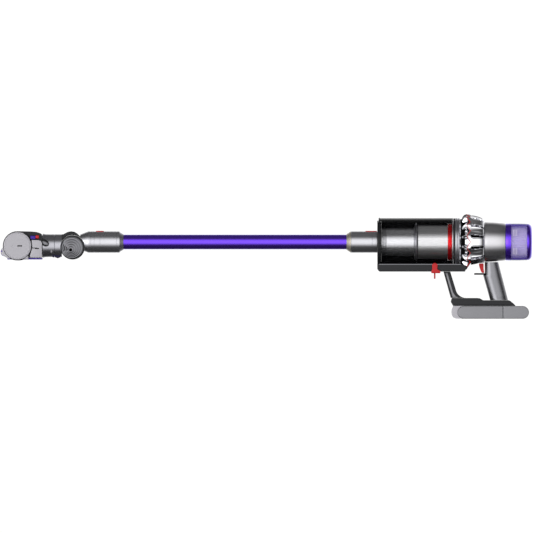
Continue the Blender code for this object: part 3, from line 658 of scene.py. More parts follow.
@dataclass
class CyclonePack:
    """The ring of cyclones: front lobes, a red zigzag seal, rear cones, and the collar before them."""

    count: int = 14
    tip_radius: float = 0.0650
    rib_radius: float = 0.0608
    root_radius: float = 0.0470
    valley_radius: float = 0.0480
    zigzag_middle: float = -0.0508
    zigzag_reach: float = 0.0044
    seam: float = 0.0008
    bore: float = 0.0305
    per_lobe: int = 48
    front: float = field(init=False)
    rear: float = field(init=False)

    def __post_init__(self) -> None:
        """Takes the ends of the pack from the frame."""
        self.front = span("cyclone_front")[0].x - 0.0025
        self.rear = span("cyclone_rear")[1].x

    def angle(self, index: int) -> float:
        """Angle of one column of points, counted from the side that faces -Y."""
        return 2 * math.pi * index / (self.count * self.per_lobe)

    def share(self, index: int) -> float:
        """How far a column is from the middle of its rib: 0 at the rib, 1 half a pitch away."""
        phase = (index / self.per_lobe) % 1.0
        return 2 * min(phase, 1 - phase)

    def zigzag(self, share: float) -> float:
        """X of the seal: its right points are at the ribs, its left points between them."""
        return self.zigzag_middle + self.zigzag_reach * (1 - 2 * share)

    def crest(self, share: float) -> float:
        """Radius of the flange on both sides of the seal."""
        return self.rib_radius + (self.tip_radius - self.rib_radius) * share**2

    def place(self, x: float, radius: float, index: int) -> Place:
        """A point of the pack from its X, radius and column; the underside is cut flat."""
        a = self.angle(index)
        floor = min(0.1313, 0.1140 + (x + 0.0565) * 1.60)
        return (x, -radius * math.cos(a), max(AXIS_Z + radius * math.sin(a), floor))

    def front_radius(self, share: float, s: float) -> float:
        """Radius of the front lobes, which swell between the ribs from the collar to the seal."""
        lobe = math.sqrt(max(0.0, 1 - ((1 - share) / 0.56) ** 2))
        swell = lobe * math.sin(min(s, 1.0) * math.pi / 2) ** 0.55
        flange = smooth(0.84, 0.95, s)
        return self.valley_radius + (self.crest(share) - self.valley_radius) * max(swell, flange)

    def rear_radius(self, share: float, s: float) -> float:
        """Radius of the rear cones, domed, with a slot between each two."""
        dome = self.root_radius + (self.crest(share) - self.root_radius) * math.sqrt(max(0.0, 1 - s**1.7))
        edge = 0.71 + 0.13 * s
        along = smooth(0.20, 0.29, s) * (1 - smooth(0.88, 0.96, s))
        slot = smooth(edge - 0.02, edge + 0.05, share)
        lip = math.exp(-(((share - edge + 0.08) / 0.07) ** 2))
        return dome + along * (0.0009 * lip - 0.0140 * slot)

    def build(self) -> None:
        """Builds the pack and puts it on the main unit."""
        columns = range(self.count * self.per_lobe)
        shares = [self.share(i) for i in columns]
        front_rows, rear_rows = [], []
        steps = 22
        for k in range(steps + 1):
            s = k / steps
            front_rows.append([
                self.place(self.front + (self.zigzag(w) - self.seam - self.front) * s, self.front_radius(w, s), i)
                for i, w in zip(columns, shares)
            ])
            rear_rows.append([
                self.place(self.zigzag(w) + self.seam + (self.rear - self.zigzag(w) - self.seam) * s,
                           self.rear_radius(w, s), i)
                for i, w in zip(columns, shares)
            ])
        for rows in (front_rows, rear_rows):
            first, last = rows[0][0][0], rows[-1][0][0]
            rows.insert(0, [self.place(first, self.bore, i) for i in columns])
            rows.append([self.place(last, self.bore, i) for i in columns])
        fit(surface("cyclone_front_lobes", front_rows, BRIGHT_NICKEL, sharp=60), "main_unit", "cyclone_front")
        fit(surface("cyclone_rear_cones", rear_rows, BRIGHT_NICKEL, sharp=60), "main_unit", "cyclone_rear")
        seal_rows = [
            [self.place(self.zigzag(w) + dx, self.crest(w) + dr, i) for i, w in zip(columns, shares)]
            for dx, dr in ((-0.0009, -0.006), (-0.0009, 0.0003), (0.0, 0.0008), (0.0009, 0.0003), (0.0009, -0.006))
        ]
        fit(surface("cyclone_zigzag_seal", seal_rows, RED_ABS, sharp=60), "main_unit", "cyclone_seal")
        self.slots()
        self.collar()

    def slots(self) -> None:
        """Black sheets set deep in the slots between the rear cones: painted shade that keeps the slots dark."""
        pieces = []
        for k in range(self.count):
            a = self.angle(round((k + 0.5) * self.per_lobe))
            rows = []
            for s in (0.24, 0.34, 0.46, 0.60, 0.74, 0.90):
                x = self.zigzag(1.0) + (self.rear - self.zigzag(1.0)) * s
                radius = self.rear_radius(0.5, s) - 0.0075
                half = 0.0040 - 0.0016 * s
                rows.append([
                    (x, -radius * math.cos(a) + side * math.sin(a) * half - deep * math.cos(a),
                     AXIS_Z + radius * math.sin(a) + side * math.cos(a) * half + deep * math.sin(a))
                    for side, deep in ((-1, -0.005), (-1, 0.0), (1, 0.0), (1, -0.005))
                ])
            pieces.append(surface(f"cyclone_slot_shade_{k}", rows, MATT_BLACK, caps=True))
        fit(joined("cyclone_slots_painted_dark", pieces), "main_unit")

    def collar(self) -> None:
        """Ribbed collar between the bin and the lobes, with the dark bin seal in front of it, and a black ring behind
        it that paints the shade in the gap before the lobes.
        """
        low, high = span("cyclone_collar")
        profile = [(-0.0822, self.bore), (-0.0822, 0.0560), (-0.0812, 0.0566), (-0.0774, 0.0566), (-0.0770, 0.0553),
                   (-0.0757, 0.0553), (-0.0753, 0.0564), (-0.0724, 0.0564), (-0.0706, 0.0546), (high.x, 0.0515),
                   (high.x, self.bore)]
        fit(turned("cyclone_collar_band", profile, DARK_GRAPHITE_PAINT, soft=0.0005), "main_unit", "cyclone_collar")
        # Black ring in the gap before the lobes: painted shade.
        shade_ring = [(-0.0697, 0.0310), (-0.0697, 0.0535), (-0.0590, 0.0545), (-0.0590, 0.0310)]
        fit(turned("cyclone_gap_shade", shade_ring, MATT_BLACK), "main_unit")
        seal = [(low.x, self.bore), (low.x, 0.0548), (-0.0850, 0.0560), (-0.0826, 0.0560), (-0.0826, self.bore)]
        fit(turned("bin_seal", seal, BLACK_RUBBER, soft=0.0006), "main_unit")


@dataclass
class Separator:
    """Fixed pieces inside the bin: perforated shroud, skirt, sleeve, red ring and inlet, and black fins above and
    below the shroud that paint the shade inside the bin.
    """

    shroud_radius: float = 0.0401
    sleeve_radius: float = 0.0333
    band_radius: float = 0.0430
    bore: float = 0.0305

    def build(self) -> None:
        """Builds the pieces seen through the clear bin."""
        low, high = span("shroud")
        wall = self.shroud_radius - 0.0015
        fit(turned("perforated_shroud", tube(low.x, high.x, wall, self.shroud_radius), ETCHED_STEEL, steps=128),
            "main_unit", "shroud")
        low, high = span("shroud_band")
        fit(turned("shroud_ring", tube(low.x, high.x, self.bore, self.band_radius), RED_METAL, soft=0.0010),
            "main_unit", "shroud_band")
        low, high = span("shroud_skirt")
        skirt = [(low.x, 0.0310), (low.x, 0.0360), (low.x + 0.0030, 0.0440), (low.x + 0.0042, 0.0470),
                 (low.x + 0.0056, 0.0468), (high.x, 0.0400), (high.x, 0.0310)]
        fit(turned("flared_skirt", skirt, DARK_GRAPHITE_PAINT, soft=0.0006), "main_unit", "shroud_skirt")
        low, high = span("inlet_sleeve")
        sleeve = tube(low.x, high.x, 0.0314, self.sleeve_radius)
        fit(turned("steel_sleeve", sleeve, BRUSHED_STEEL, soft=0.0006), "main_unit", "inlet_sleeve")
        dress("inlet_duct", BLACK_ABS)
        dress("vortex_core", DARK_ABS)
        # Black fins above and below the shroud: painted shade that darkens the bin's inside there.
        for name, sign in (("shade_fin_top", 1), ("shade_fin_bottom", -1)):
            inner, step, outer = (AXIS_Z + sign * r for r in (0.0318, 0.0431, 0.0536))
            fin = [(-0.2557, inner), (-0.0996, inner), (-0.0996, step), (-0.0870, step), (-0.0870, outer),
                   (-0.2557, outer)]
            fit(plate(name, fin, -0.0006, 0.0006, MATT_BLACK, edge=0.0), "main_unit")
        rim = self.sleeve_radius
        boss = [(-0.2556, self.bore), (-0.2556, rim), (-0.2528, rim), (-0.2524, 0.0326), (-0.2516, 0.0326),
                (-0.2512, rim), (-0.2442, rim), (-0.2442, self.bore)]
        fit(turned("inlet_boss", boss, SATIN_NICKEL), "main_unit")


@dataclass
class MotorUnit:
    """Motor housing, the parts in it, and the cover at the back."""

    front_radius: float = 0.0468
    rear_radius: float = 0.0437

    def build(self) -> None:
        """Builds the housing, the rear cover and the slider."""
        low, high = span("motor_housing")
        profile = [(low.x, 0.0425), (low.x, self.front_radius - 0.0006), (low.x + 0.0015, self.front_radius),
                   (0.0120, 0.0458), (high.x - 0.0012, self.rear_radius), (high.x, self.rear_radius - 0.0008),
                   (high.x, 0.0300), (high.x - 0.0030, 0.0300), (high.x - 0.0030, 0.0405), (0.0, 0.0425)]
        fit(turned("motor_housing_shell", profile, SILVER_LACQUER, steps=128), "main_unit", "motor_housing")
        dress("motor_stator", COPPER_WIRE)
        dress("impeller", GRAPHITE_PAINT)
        low, high = span("rear_cover")
        cover = [(low.x, 0.0188), (low.x, 0.0210), (high.x - 0.0020, 0.0210), (high.x, 0.0190), (high.x, 0.0125),
                 (high.x - 0.0008, 0.0118), (high.x - 0.0008, 0.0), (high.x - 0.0020, 0.0), (high.x - 0.0020, 0.0188)]
        shell = turned("rear_cover_shell", cover, DARK_ABS)
        track = block("track_cutter", (high.x - 0.0100, -0.0110, AXIS_Z - 0.0022),
                      (high.x + 0.0050, 0.0110, AXIS_Z + 0.0022), BLACK_ABS, edge=0.0005)
        fit(carved(shell, track), "main_unit", "rear_cover")
        low, high = span("mode_slider")
        knob = block("mode_slider_knob", (low.x + 0.0033, low.y, low.z), (high.x, high.y, high.z), RED_ABS, 0.0010)
        stem = block("mode_slider_stem", (low.x, low.y + 0.001, AXIS_Z - 0.0018),
                     (low.x + 0.0040, high.y - 0.001, AXIS_Z + 0.0018), RED_ABS, 0.0002)
        fit(joined("mode_slider_button", [knob, stem]), "mode_slider", "mode_slider")


@dataclass
class Filter:
    """Purple filter: a front band, a see-through window over the pleats, and a rounded end."""

    radius: float = 0.0436
    window_front: float = 0.0494
    window_rear: float = 0.0871
    pleats: int = 60

    def build(self) -> None:
        """Builds the filter on its own body."""
        low, high = span("filter_shell")
        front = [(low.x, 0.0408), (low.x, self.radius - 0.0010), (low.x + 0.0010, self.radius - 0.0003),
                 (self.window_front, self.radius), (self.window_front, 0.0408)]
        end = [(self.window_rear, 0.0400), (self.window_rear, 0.0428)]
        end += arc((high.x - 0.0105, 0.0322), 0.0105, 88, 2, 14)
        end += [(high.x, 0.0228), (high.x - 0.0027, 0.0228), (high.x - 0.0027, 0.0320)]
        fit(turned("filter_front_band", front, PURPLE_SHELL, steps=128), "filter", "filter_shell")
        fit(turned("filter_end_band", end, PURPLE_SHELL, steps=128), "filter")
        middle = (self.window_front + self.window_rear) / 2
        first, last = self.window_front + 0.0002, self.window_rear - 0.0002
        window = [(first, self.radius - 0.0001), (middle, self.radius), (last, self.radius - 0.0006),
                  (last, self.radius - 0.0021), (middle, self.radius - 0.0015), (first, self.radius - 0.0016)]
        fit(turned("filter_window", window, PURPLE_WINDOW, steps=128), "filter")
        self.paper()
        dress("filter_seal", BLACK_RUBBER)

    def paper(self) -> None:
        """Pleated paper round the filter, with three moulded slots on each side of its middle."""
        low, high = span("filter_pleats")
        rows = []
        for x, wave in ((low.x, 1.0), (high.x, 1.0), (high.x, 0.0), (low.x, 0.0)):
            ring = []
            for a in around(self.pleats * 8):
                radius = 0.0240 if wave == 0.0 else 0.0386 - 0.0016 * abs(math.sin(self.pleats * a / 2))
                ring.append((x, radius * math.cos(a), AXIS_Z + radius * math.sin(a)))
            rows.append(ring)
        fit(surface("pleated_paper", rows, FILTER_PAPER, sharp=25), "filter", "filter_pleats")
        slots = []
        for k in range(3):
            x = self.window_front + 0.0042 + 0.0040 * k
            for sign in (-1, 1):
                middle = 180.0 - sign * 30.0
                outer, inner = self.radius + 0.0002, self.radius - 0.0018
                ring = arc((0.0, AXIS_Z), outer, middle - 11, middle + 11, 10)
                ring += arc((0.0, AXIS_Z), inner, middle + 11, middle - 11, 10)
                rows = [[(x + dx, y, z) for y, z in ring] for dx in (0.0, 0.0016)]
                slots.append(surface(f"filter_slot_{k}_{sign + 1}", rows, FILTER_PAPER, caps=True))
        fit(joined("filter_window_slots", slots), "filter")


@dataclass
class Grip:
    """The pistol grip in two halves, with trigger and finger guard."""

    half_width: float = 0.0180
    foot: Point = (0.0002, 0.0427)
    top: Point = (-0.0250, 0.0195)
    trigger_back: float = -0.0142
    levels: int = 40

    def section(self, t: float, low: float, high: float, side: int) -> list[Place]:
        """Half of a rounded cross-section.

        Args:
            t: 0 at the foot, 1 at the top.
            low: Height of the foot.
            high: Height of the top.
            side: -1 for the half at -Y, 1 for the other.

        Returns:
            Points round the half, closed by the seam.
        """
        z = low + (high - low) * t
        front = self.foot[0] + (self.top[0] - self.foot[0]) * t
        back = self.foot[1] + (self.top[1] - self.foot[1]) * t
        front += (max(self.trigger_back, front) - front) * smooth(0.1030, 0.1046, z)
        flare = 0.0012 * (1 - smooth(0.0, 0.12, t))
        middle, half = (front + back) / 2, (back - front) / 2
        points = []
        for i in range(33):
            a = math.pi * i / 32
            c, s = math.cos(a), math.sin(a)
            y = side * max(0.00015, (self.half_width + flare) * s)
            points.append((middle + half * c, y, z))
        return points

    def build(self) -> None:
        """Builds both halves, the trigger, its switch and the guard."""
        low, high = span("handle_left")
        for tag, side in SIDES:
            rows = [self.section(k / self.levels, low.z, high.z, side) for k in range(self.levels + 1)]
            slot = block("trigger_slot_cutter", (-0.0300, -0.0078, 0.1072), (-0.0085, 0.0078, 0.1400),
                         MATT_BLACK, 0.0)
            fit(carved(surface(f"grip_{tag}", rows, GRIP_ABS, caps=True, sharp=50), slot),
                "main_unit", f"handle_{tag}")
        low, high = span("trigger")
        face = [(-0.0150, high.z), (low.x, high.z), (low.x + 0.0006, 0.1235), (-0.0236, 0.1172), (-0.0205, 0.1100),
                (-0.0190, low.z), (high.x, low.z), (-0.0146, 0.1150), (-0.0150, 0.1190)]
        fit(plate("trigger_lever", softened(face, 0.0012), low.y, high.y, RED_ABS, edge=0.0022, segments=4),
            "trigger", "trigger")
        dress("trigger_switch", BLACK_ABS)
        low, high = span("finger_guard")
        guard = block("finger_guard_fin", (low.x, low.y, low.z - 0.0002), (high.x, high.y, high.z + 0.0002),
                      MATT_BLACK, 0.0008)
        fit(guard, "main_unit", "finger_guard")


@dataclass
class Base:
    """Strut, bracket and battery pack under the machine."""

    def build(self) -> None:
        """Builds the strut, the bracket, the pack and its cradle."""
        self.strut()
        self.bracket()
        self.battery()

    def strut(self) -> None:
        """The slanted strut with its light inlay on both sides."""
        low, high = span("strut")
        curve = arc((-0.0560, 0.0745), 0.0256, 205, 268, 10)
        outline = [(low.x, high.z), (-0.0935, high.z), *curve, (-0.0560, low.z), (-0.0925, low.z)]
        fit(plate("bracket_strut", outline, low.y, high.y, DARK_ABS, edge=0.0024, segments=4), "main_unit", "strut")
        stripe = [(-0.1046, 0.1080), (-0.1004, 0.1080), (-0.0874, 0.0628), (-0.0812, 0.0530), (-0.0740, 0.0496),
                  (-0.0876, 0.0496)]
        for tag, side in SIDES:
            near, far = across(side, high.y - 0.0006, high.y + 0.0004)
            fit(plate(f"strut_inlay_{tag}", softened(stripe, 0.0025), near, far, BATTERY_ABS, edge=0.0003),
                "main_unit")

    def bracket(self) -> None:
        """The low bracket on top of the battery."""
        low, high = span("base_bracket")
        outline = [(low.x, 0.0400), (-0.0900, high.z), (-0.0290, high.z), (-0.0240, 0.0480), (-0.0165, 0.0436),
                   (-0.0140, 0.0434), (0.0440, 0.0434), (0.0470, 0.0424), (high.x, 0.0340),
                   (high.x + 0.0004, low.z), (-0.0871, low.z)]
        fit(plate("battery_bracket", softened(outline, 0.0016), low.y, high.y, DARK_ABS, edge=0.0040, segments=5),
            "main_unit", "base_bracket")
        flange = [(-0.0855, 0.0301), (-0.0855, 0.0326), (0.0585, 0.0326), (0.0600, 0.0301)]
        fit(plate("battery_flange", flange, -0.0322, 0.0322, DARK_ABS, edge=0.0006), "main_unit")

    def battery(self) -> None:
        """The pack in two parts with round ends, its cells and socket, and the crescent cradle."""
        low, high = span("battery_case")
        half = high.z / 2
        nose = arc((low.x + half, half), half, 90, 270, 28)
        case = [*nose, (high.x, 0.0), (high.x, high.z)]
        fit(plate("battery_pack", case, low.y, high.y, BATTERY_ABS, edge=0.0022, segments=5), "main_unit",
            "battery_case")
        low, high = span("battery_end_cap")
        tail = arc((high.x - half, half), half, -90, 90, 28)
        cap = plate("battery_pack_end", [*tail, (low.x, high.z), (low.x, 0.0)], low.y, high.y, BATTERY_ABS,
                    edge=0.0022, segments=5)
        hole = turned("socket_cutter", tube(0.0830, 0.1000, 0.0, 0.0042),
                      BLACK_ABS, (0.0, 0.0, half), steps=32)
        fit(carved(cap, hole), "main_unit", "battery_end_cap")
        dress("charge_socket", BLACK_ABS)
        dress("battery_cells", CELL_SLEEVE)
        low, high = span("battery_cradle")
        back = arc((span("battery_case")[0].x + half, half), half + 0.0004, 100, 260, 24)
        crescent = [(-0.0640, high.z + 0.0004), (-0.0866, high.z), (-0.0900, 0.0215), (low.x, 0.0150),
                    (-0.0900, 0.0085), (-0.0862, 0.0030), (-0.0800, low.z), (-0.0640, low.z - 0.0002),
                    *reversed(back)]
        fit(plate("battery_crescent", crescent, low.y, high.y, LIGHT_ABS, edge=0.0014, segments=4), "main_unit",
            "battery_cradle")


@dataclass
class Runner:
    """The rail under the bin, a U in section, with its button."""

    wall: float = 0.0033

    def build(self) -> None:
        """Builds the rail's floor and walls as one piece, and the button in the floor."""
        low, high = span("bin_runner")
        floor_top = 0.1144
        side = [(low.x, 0.1290), (low.x, 0.1170), (-0.2600, low.z), (-0.0592, low.z), (-0.0535, 0.1250),
                (-0.0600, 0.1262), (-0.0668, 0.1290), (-0.0680, high.z - 0.0002), (low.x + 0.0010, high.z - 0.0002)]
        bottom = [(-0.2640, floor_top), (-0.2600, low.z), (-0.0592, low.z), (-0.0575, floor_top)]
        inner = high.y - self.wall
        pieces = [
            plate("runner_wall_left", softened(side, 0.0012), low.y, -inner, DARK_ABS, edge=0.0007),
            plate("runner_wall_right", softened(side, 0.0012), inner, high.y, DARK_ABS, edge=0.0007),
            plate("runner_floor", bottom, -inner - 0.001, inner + 0.001, DARK_ABS, edge=0.0),
        ]
        # A metallic strip along the top of each wall: a lighter material that paints the wall's edge highlight.
        for tag, side_y in SIDES:
            near, far = across(side_y, high.y - 0.0006, high.y + 0.0001)
            lip = block(f"rail_highlight_strip_{tag}", (low.x + 0.0040, near, high.z - 0.0024), (-0.0690, far, high.z - 0.0006),
                        SMOKED_NICKEL, 0.0003)
            fit(lip, "main_unit")
        rail = joined("bin_rail", pieces)
        opening = block("button_cutter", (-0.2425, -0.0055, 0.1000), (-0.2275, 0.0055, 0.1200), BLACK_ABS, 0.0008)
        fit(carved(rail, opening), "main_unit", "bin_runner")
        low, high = span("runner_button")
        fit(block("bin_removal_button", low, high, RED_ABS, 0.0005), "runner_button", "runner_button")


@dataclass
class Bin:
    """The clear bin with its rims, shoe, front door and red lever."""

    radius: float = 0.0571
    wall: float = 0.0022

    def build(self) -> None:
        """Builds the bin's shell, rims and shoe, then the door and the lever."""
        low, high = span("bin_shell")
        inner = self.radius - self.wall
        shell = tube(low.x + 0.0028, high.x - 0.0030, inner, self.radius - 0.0004)
        fit(turned("clear_bin", shell, CLEAR_BIN, steps=160), "bin", "bin_shell")
        front = tube(low.x, low.x + 0.0028, inner - 0.0001, self.radius)
        fit(turned("bin_front_rim", front, DARK_ABS, soft=0.0006), "bin")
        rear = tube(high.x - 0.0030, high.x, inner - 0.0001, self.radius)
        fit(turned("bin_rear_rim", rear, SATIN_NICKEL, soft=0.0006), "bin")
        low, high = span("bin_shoe")
        fit(block("bin_rail_shoe", low, high, DARK_ABS, 0.0012), "bin", "bin_shoe")
        self.door()
        self.lever()

    def door(self) -> None:
        """The U-shaped flap at the front, which straddles the wand's collar."""
        low, high = span("bin_door")
        door = [(low.x, 0.0), (low.x, 0.0558), (low.x + 0.0006, 0.0568), (-0.2630, 0.0568), (-0.2627, 0.0560),
                (-0.2627, 0.0522), (high.x, 0.0522), (high.x, 0.0)]
        flap = turned("bin_flap", door, BLACK_ABS)
        notch = arc((0.0, AXIS_Z), 0.0262, 180, 360, 32)
        ring = [*notch, (0.0262, AXIS_Z + 0.0700), (-0.0262, AXIS_Z + 0.0700)]
        rows = [[(x, y, z) for y, z in ring] for x in (-0.2750, -0.2450)]
        cutter = surface("notch_cutter", rows, BLACK_ABS, caps=True)
        fit(carved(flap, cutter), "bin_door", "bin_door")
        knuckle = block("flap_knuckle", (low.x, -0.0120, low.z), (-0.2627, 0.0120, 0.1285), BLACK_ABS, 0.0008)
        fit(knuckle, "bin_door")
        dress("door_seal", BLACK_RUBBER)

    def lever(self) -> None:
        """The red lever astride the rail: two round heads, a foot and a thumb fin."""
        low, high = span("release_lever")
        middle = (low.x + high.x) / 2 - 0.0025
        foot_top = 0.1106
        outline = [
            *arc((middle, high.z - 0.0068), 0.0066, -20, 200, 20),
            (middle - 0.0060, 0.1165), (low.x, 0.1125), (low.x, 0.1074), (high.x, 0.1074), (high.x, 0.1125),
            (middle + 0.0062, 0.1165),
        ]
        pieces = [
            plate("lever_cheek_left", outline, low.y - 0.0012, low.y + 0.0027, RED_ABS, edge=0.0010),
            plate("lever_cheek_right", outline, high.y - 0.0027, high.y + 0.0012, RED_ABS, edge=0.0010),
            block("lever_foot", (low.x, low.y, 0.1071), (high.x, high.y, foot_top), RED_ABS, 0.0008),
            block("lever_fin", (middle - 0.0018, -0.0120, low.z), (middle + 0.0018, 0.0120, 0.1085), RED_ABS, 0.0010),
        ]
        for side in (-1, 1):
            near, far = across(side, high.y + 0.0008, high.y + 0.0018)
            pieces.append(block(f"lever_ridge_{side + 1}", (low.x + 0.0015, near, 0.1088),
                                (high.x - 0.0015, far, 0.1098),
                                RED_ABS, 0.0004))
        fit(joined("bin_lever", pieces), "release_lever", "release_lever")


@dataclass
class Wand:
    """The purple tube with a metallic collar at each end and a red release button."""

    collar_radius: float = 0.0253
    tube_radius: float = 0.0172
    groove: float = 0.0005

    def grooved(self, start: float, end: float, grooves: Sequence[float]) -> list[Point]:
        """Outer line of a collar between two places, with narrow grooves."""
        line = [(start, self.collar_radius)]
        for x in sorted(grooves, reverse=start > end):
            step = 0.0005 if end > start else -0.0005
            line += [(x - step, self.collar_radius), (x - step * 0.4, self.collar_radius - self.groove),
                     (x + step * 0.4, self.collar_radius - self.groove), (x + step, self.collar_radius)]
        return [*line, (end, self.collar_radius)]

    def build(self) -> None:
        """Builds the tube, both collars, the taupe band and the button."""
        low, high = span("wand_tube")
        pipe = tube(low.x, high.x, 0.0155, self.tube_radius)
        fit(turned("purple_tube", pipe, ANODISED_PURPLE, steps=128), "wand", "wand_tube")
        low, high = span("wand_upper_collar")
        face = high.x - 0.0076
        upper = [
            (low.x + 0.0104, 0.0246), *self.grooved(low.x + 0.0112, face - 0.0008, (-0.2771,)),
            (face, self.collar_radius - 0.0008), (face, 0.0148), (high.x, 0.0146), (high.x, 0.0134),
            (-0.3096, 0.0134),
            (-0.3096, 0.0176), (low.x + 0.0104, 0.0176),
        ]
        collar = turned("upper_collar", upper, GRAPHITE_PAINT)
        band = [(low.x, 0.0175), (low.x, 0.0182), (low.x + 0.0090, 0.0246), (low.x + 0.0103, 0.0247),
                (low.x + 0.0103, 0.0176)]
        fit(turned("upper_collar_band", band, TAUPE_ABS, soft=0.0005), "wand")
        button = span("wand_release_button")
        fit(carved(collar, self.pocket(button)), "wand", "wand_upper_collar")
        self.button("wand_button", button, "wand_release_button")
        low, high = span("wand_lower_collar")
        lower = [(high.x, 0.0175), (high.x, 0.0182), (-0.8738, 0.0248), (-0.8722, 0.0252),
                 *self.grooved(-0.8735, low.x - 0.0005, (-0.8790,))[1:], (low.x - 0.0005, 0.0151),
                 (-0.8930, 0.0151), (-0.8930, 0.0175)]
        fit(turned("lower_collar", lower, GRAPHITE_PAINT), "wand", "wand_lower_collar")

    def pocket(self, button: tuple[Vector, Vector]) -> Piece:
        """Cutter for a button's pocket, a little larger than the button."""
        low, high = button
        return block("pocket_cutter", (low.x - 0.0004, low.y - 0.0005, low.z - 0.0025),
                     (high.x + 0.0004, high.y + 0.0005, high.z + 0.0100), BLACK_ABS, 0.0006)

    def button(self, name: str, box: tuple[Vector, Vector], body: str) -> None:
        """A red button with three finger ridges."""
        low, high = box
        pieces = [block(name, low, high, RED_ABS, 0.0009)]
        for k in range(3):
            x = low.x + (high.x - low.x) * (0.3 + 0.2 * k)
            pieces.append(block(f"{name}_ridge_{k}", (x - 0.0005, low.y + 0.0015, high.z - 0.0002),
                                (x + 0.0005, high.y - 0.0015, high.z + 0.0004), RED_ABS, 0.0002))
        fit(joined(name, pieces), body, body)


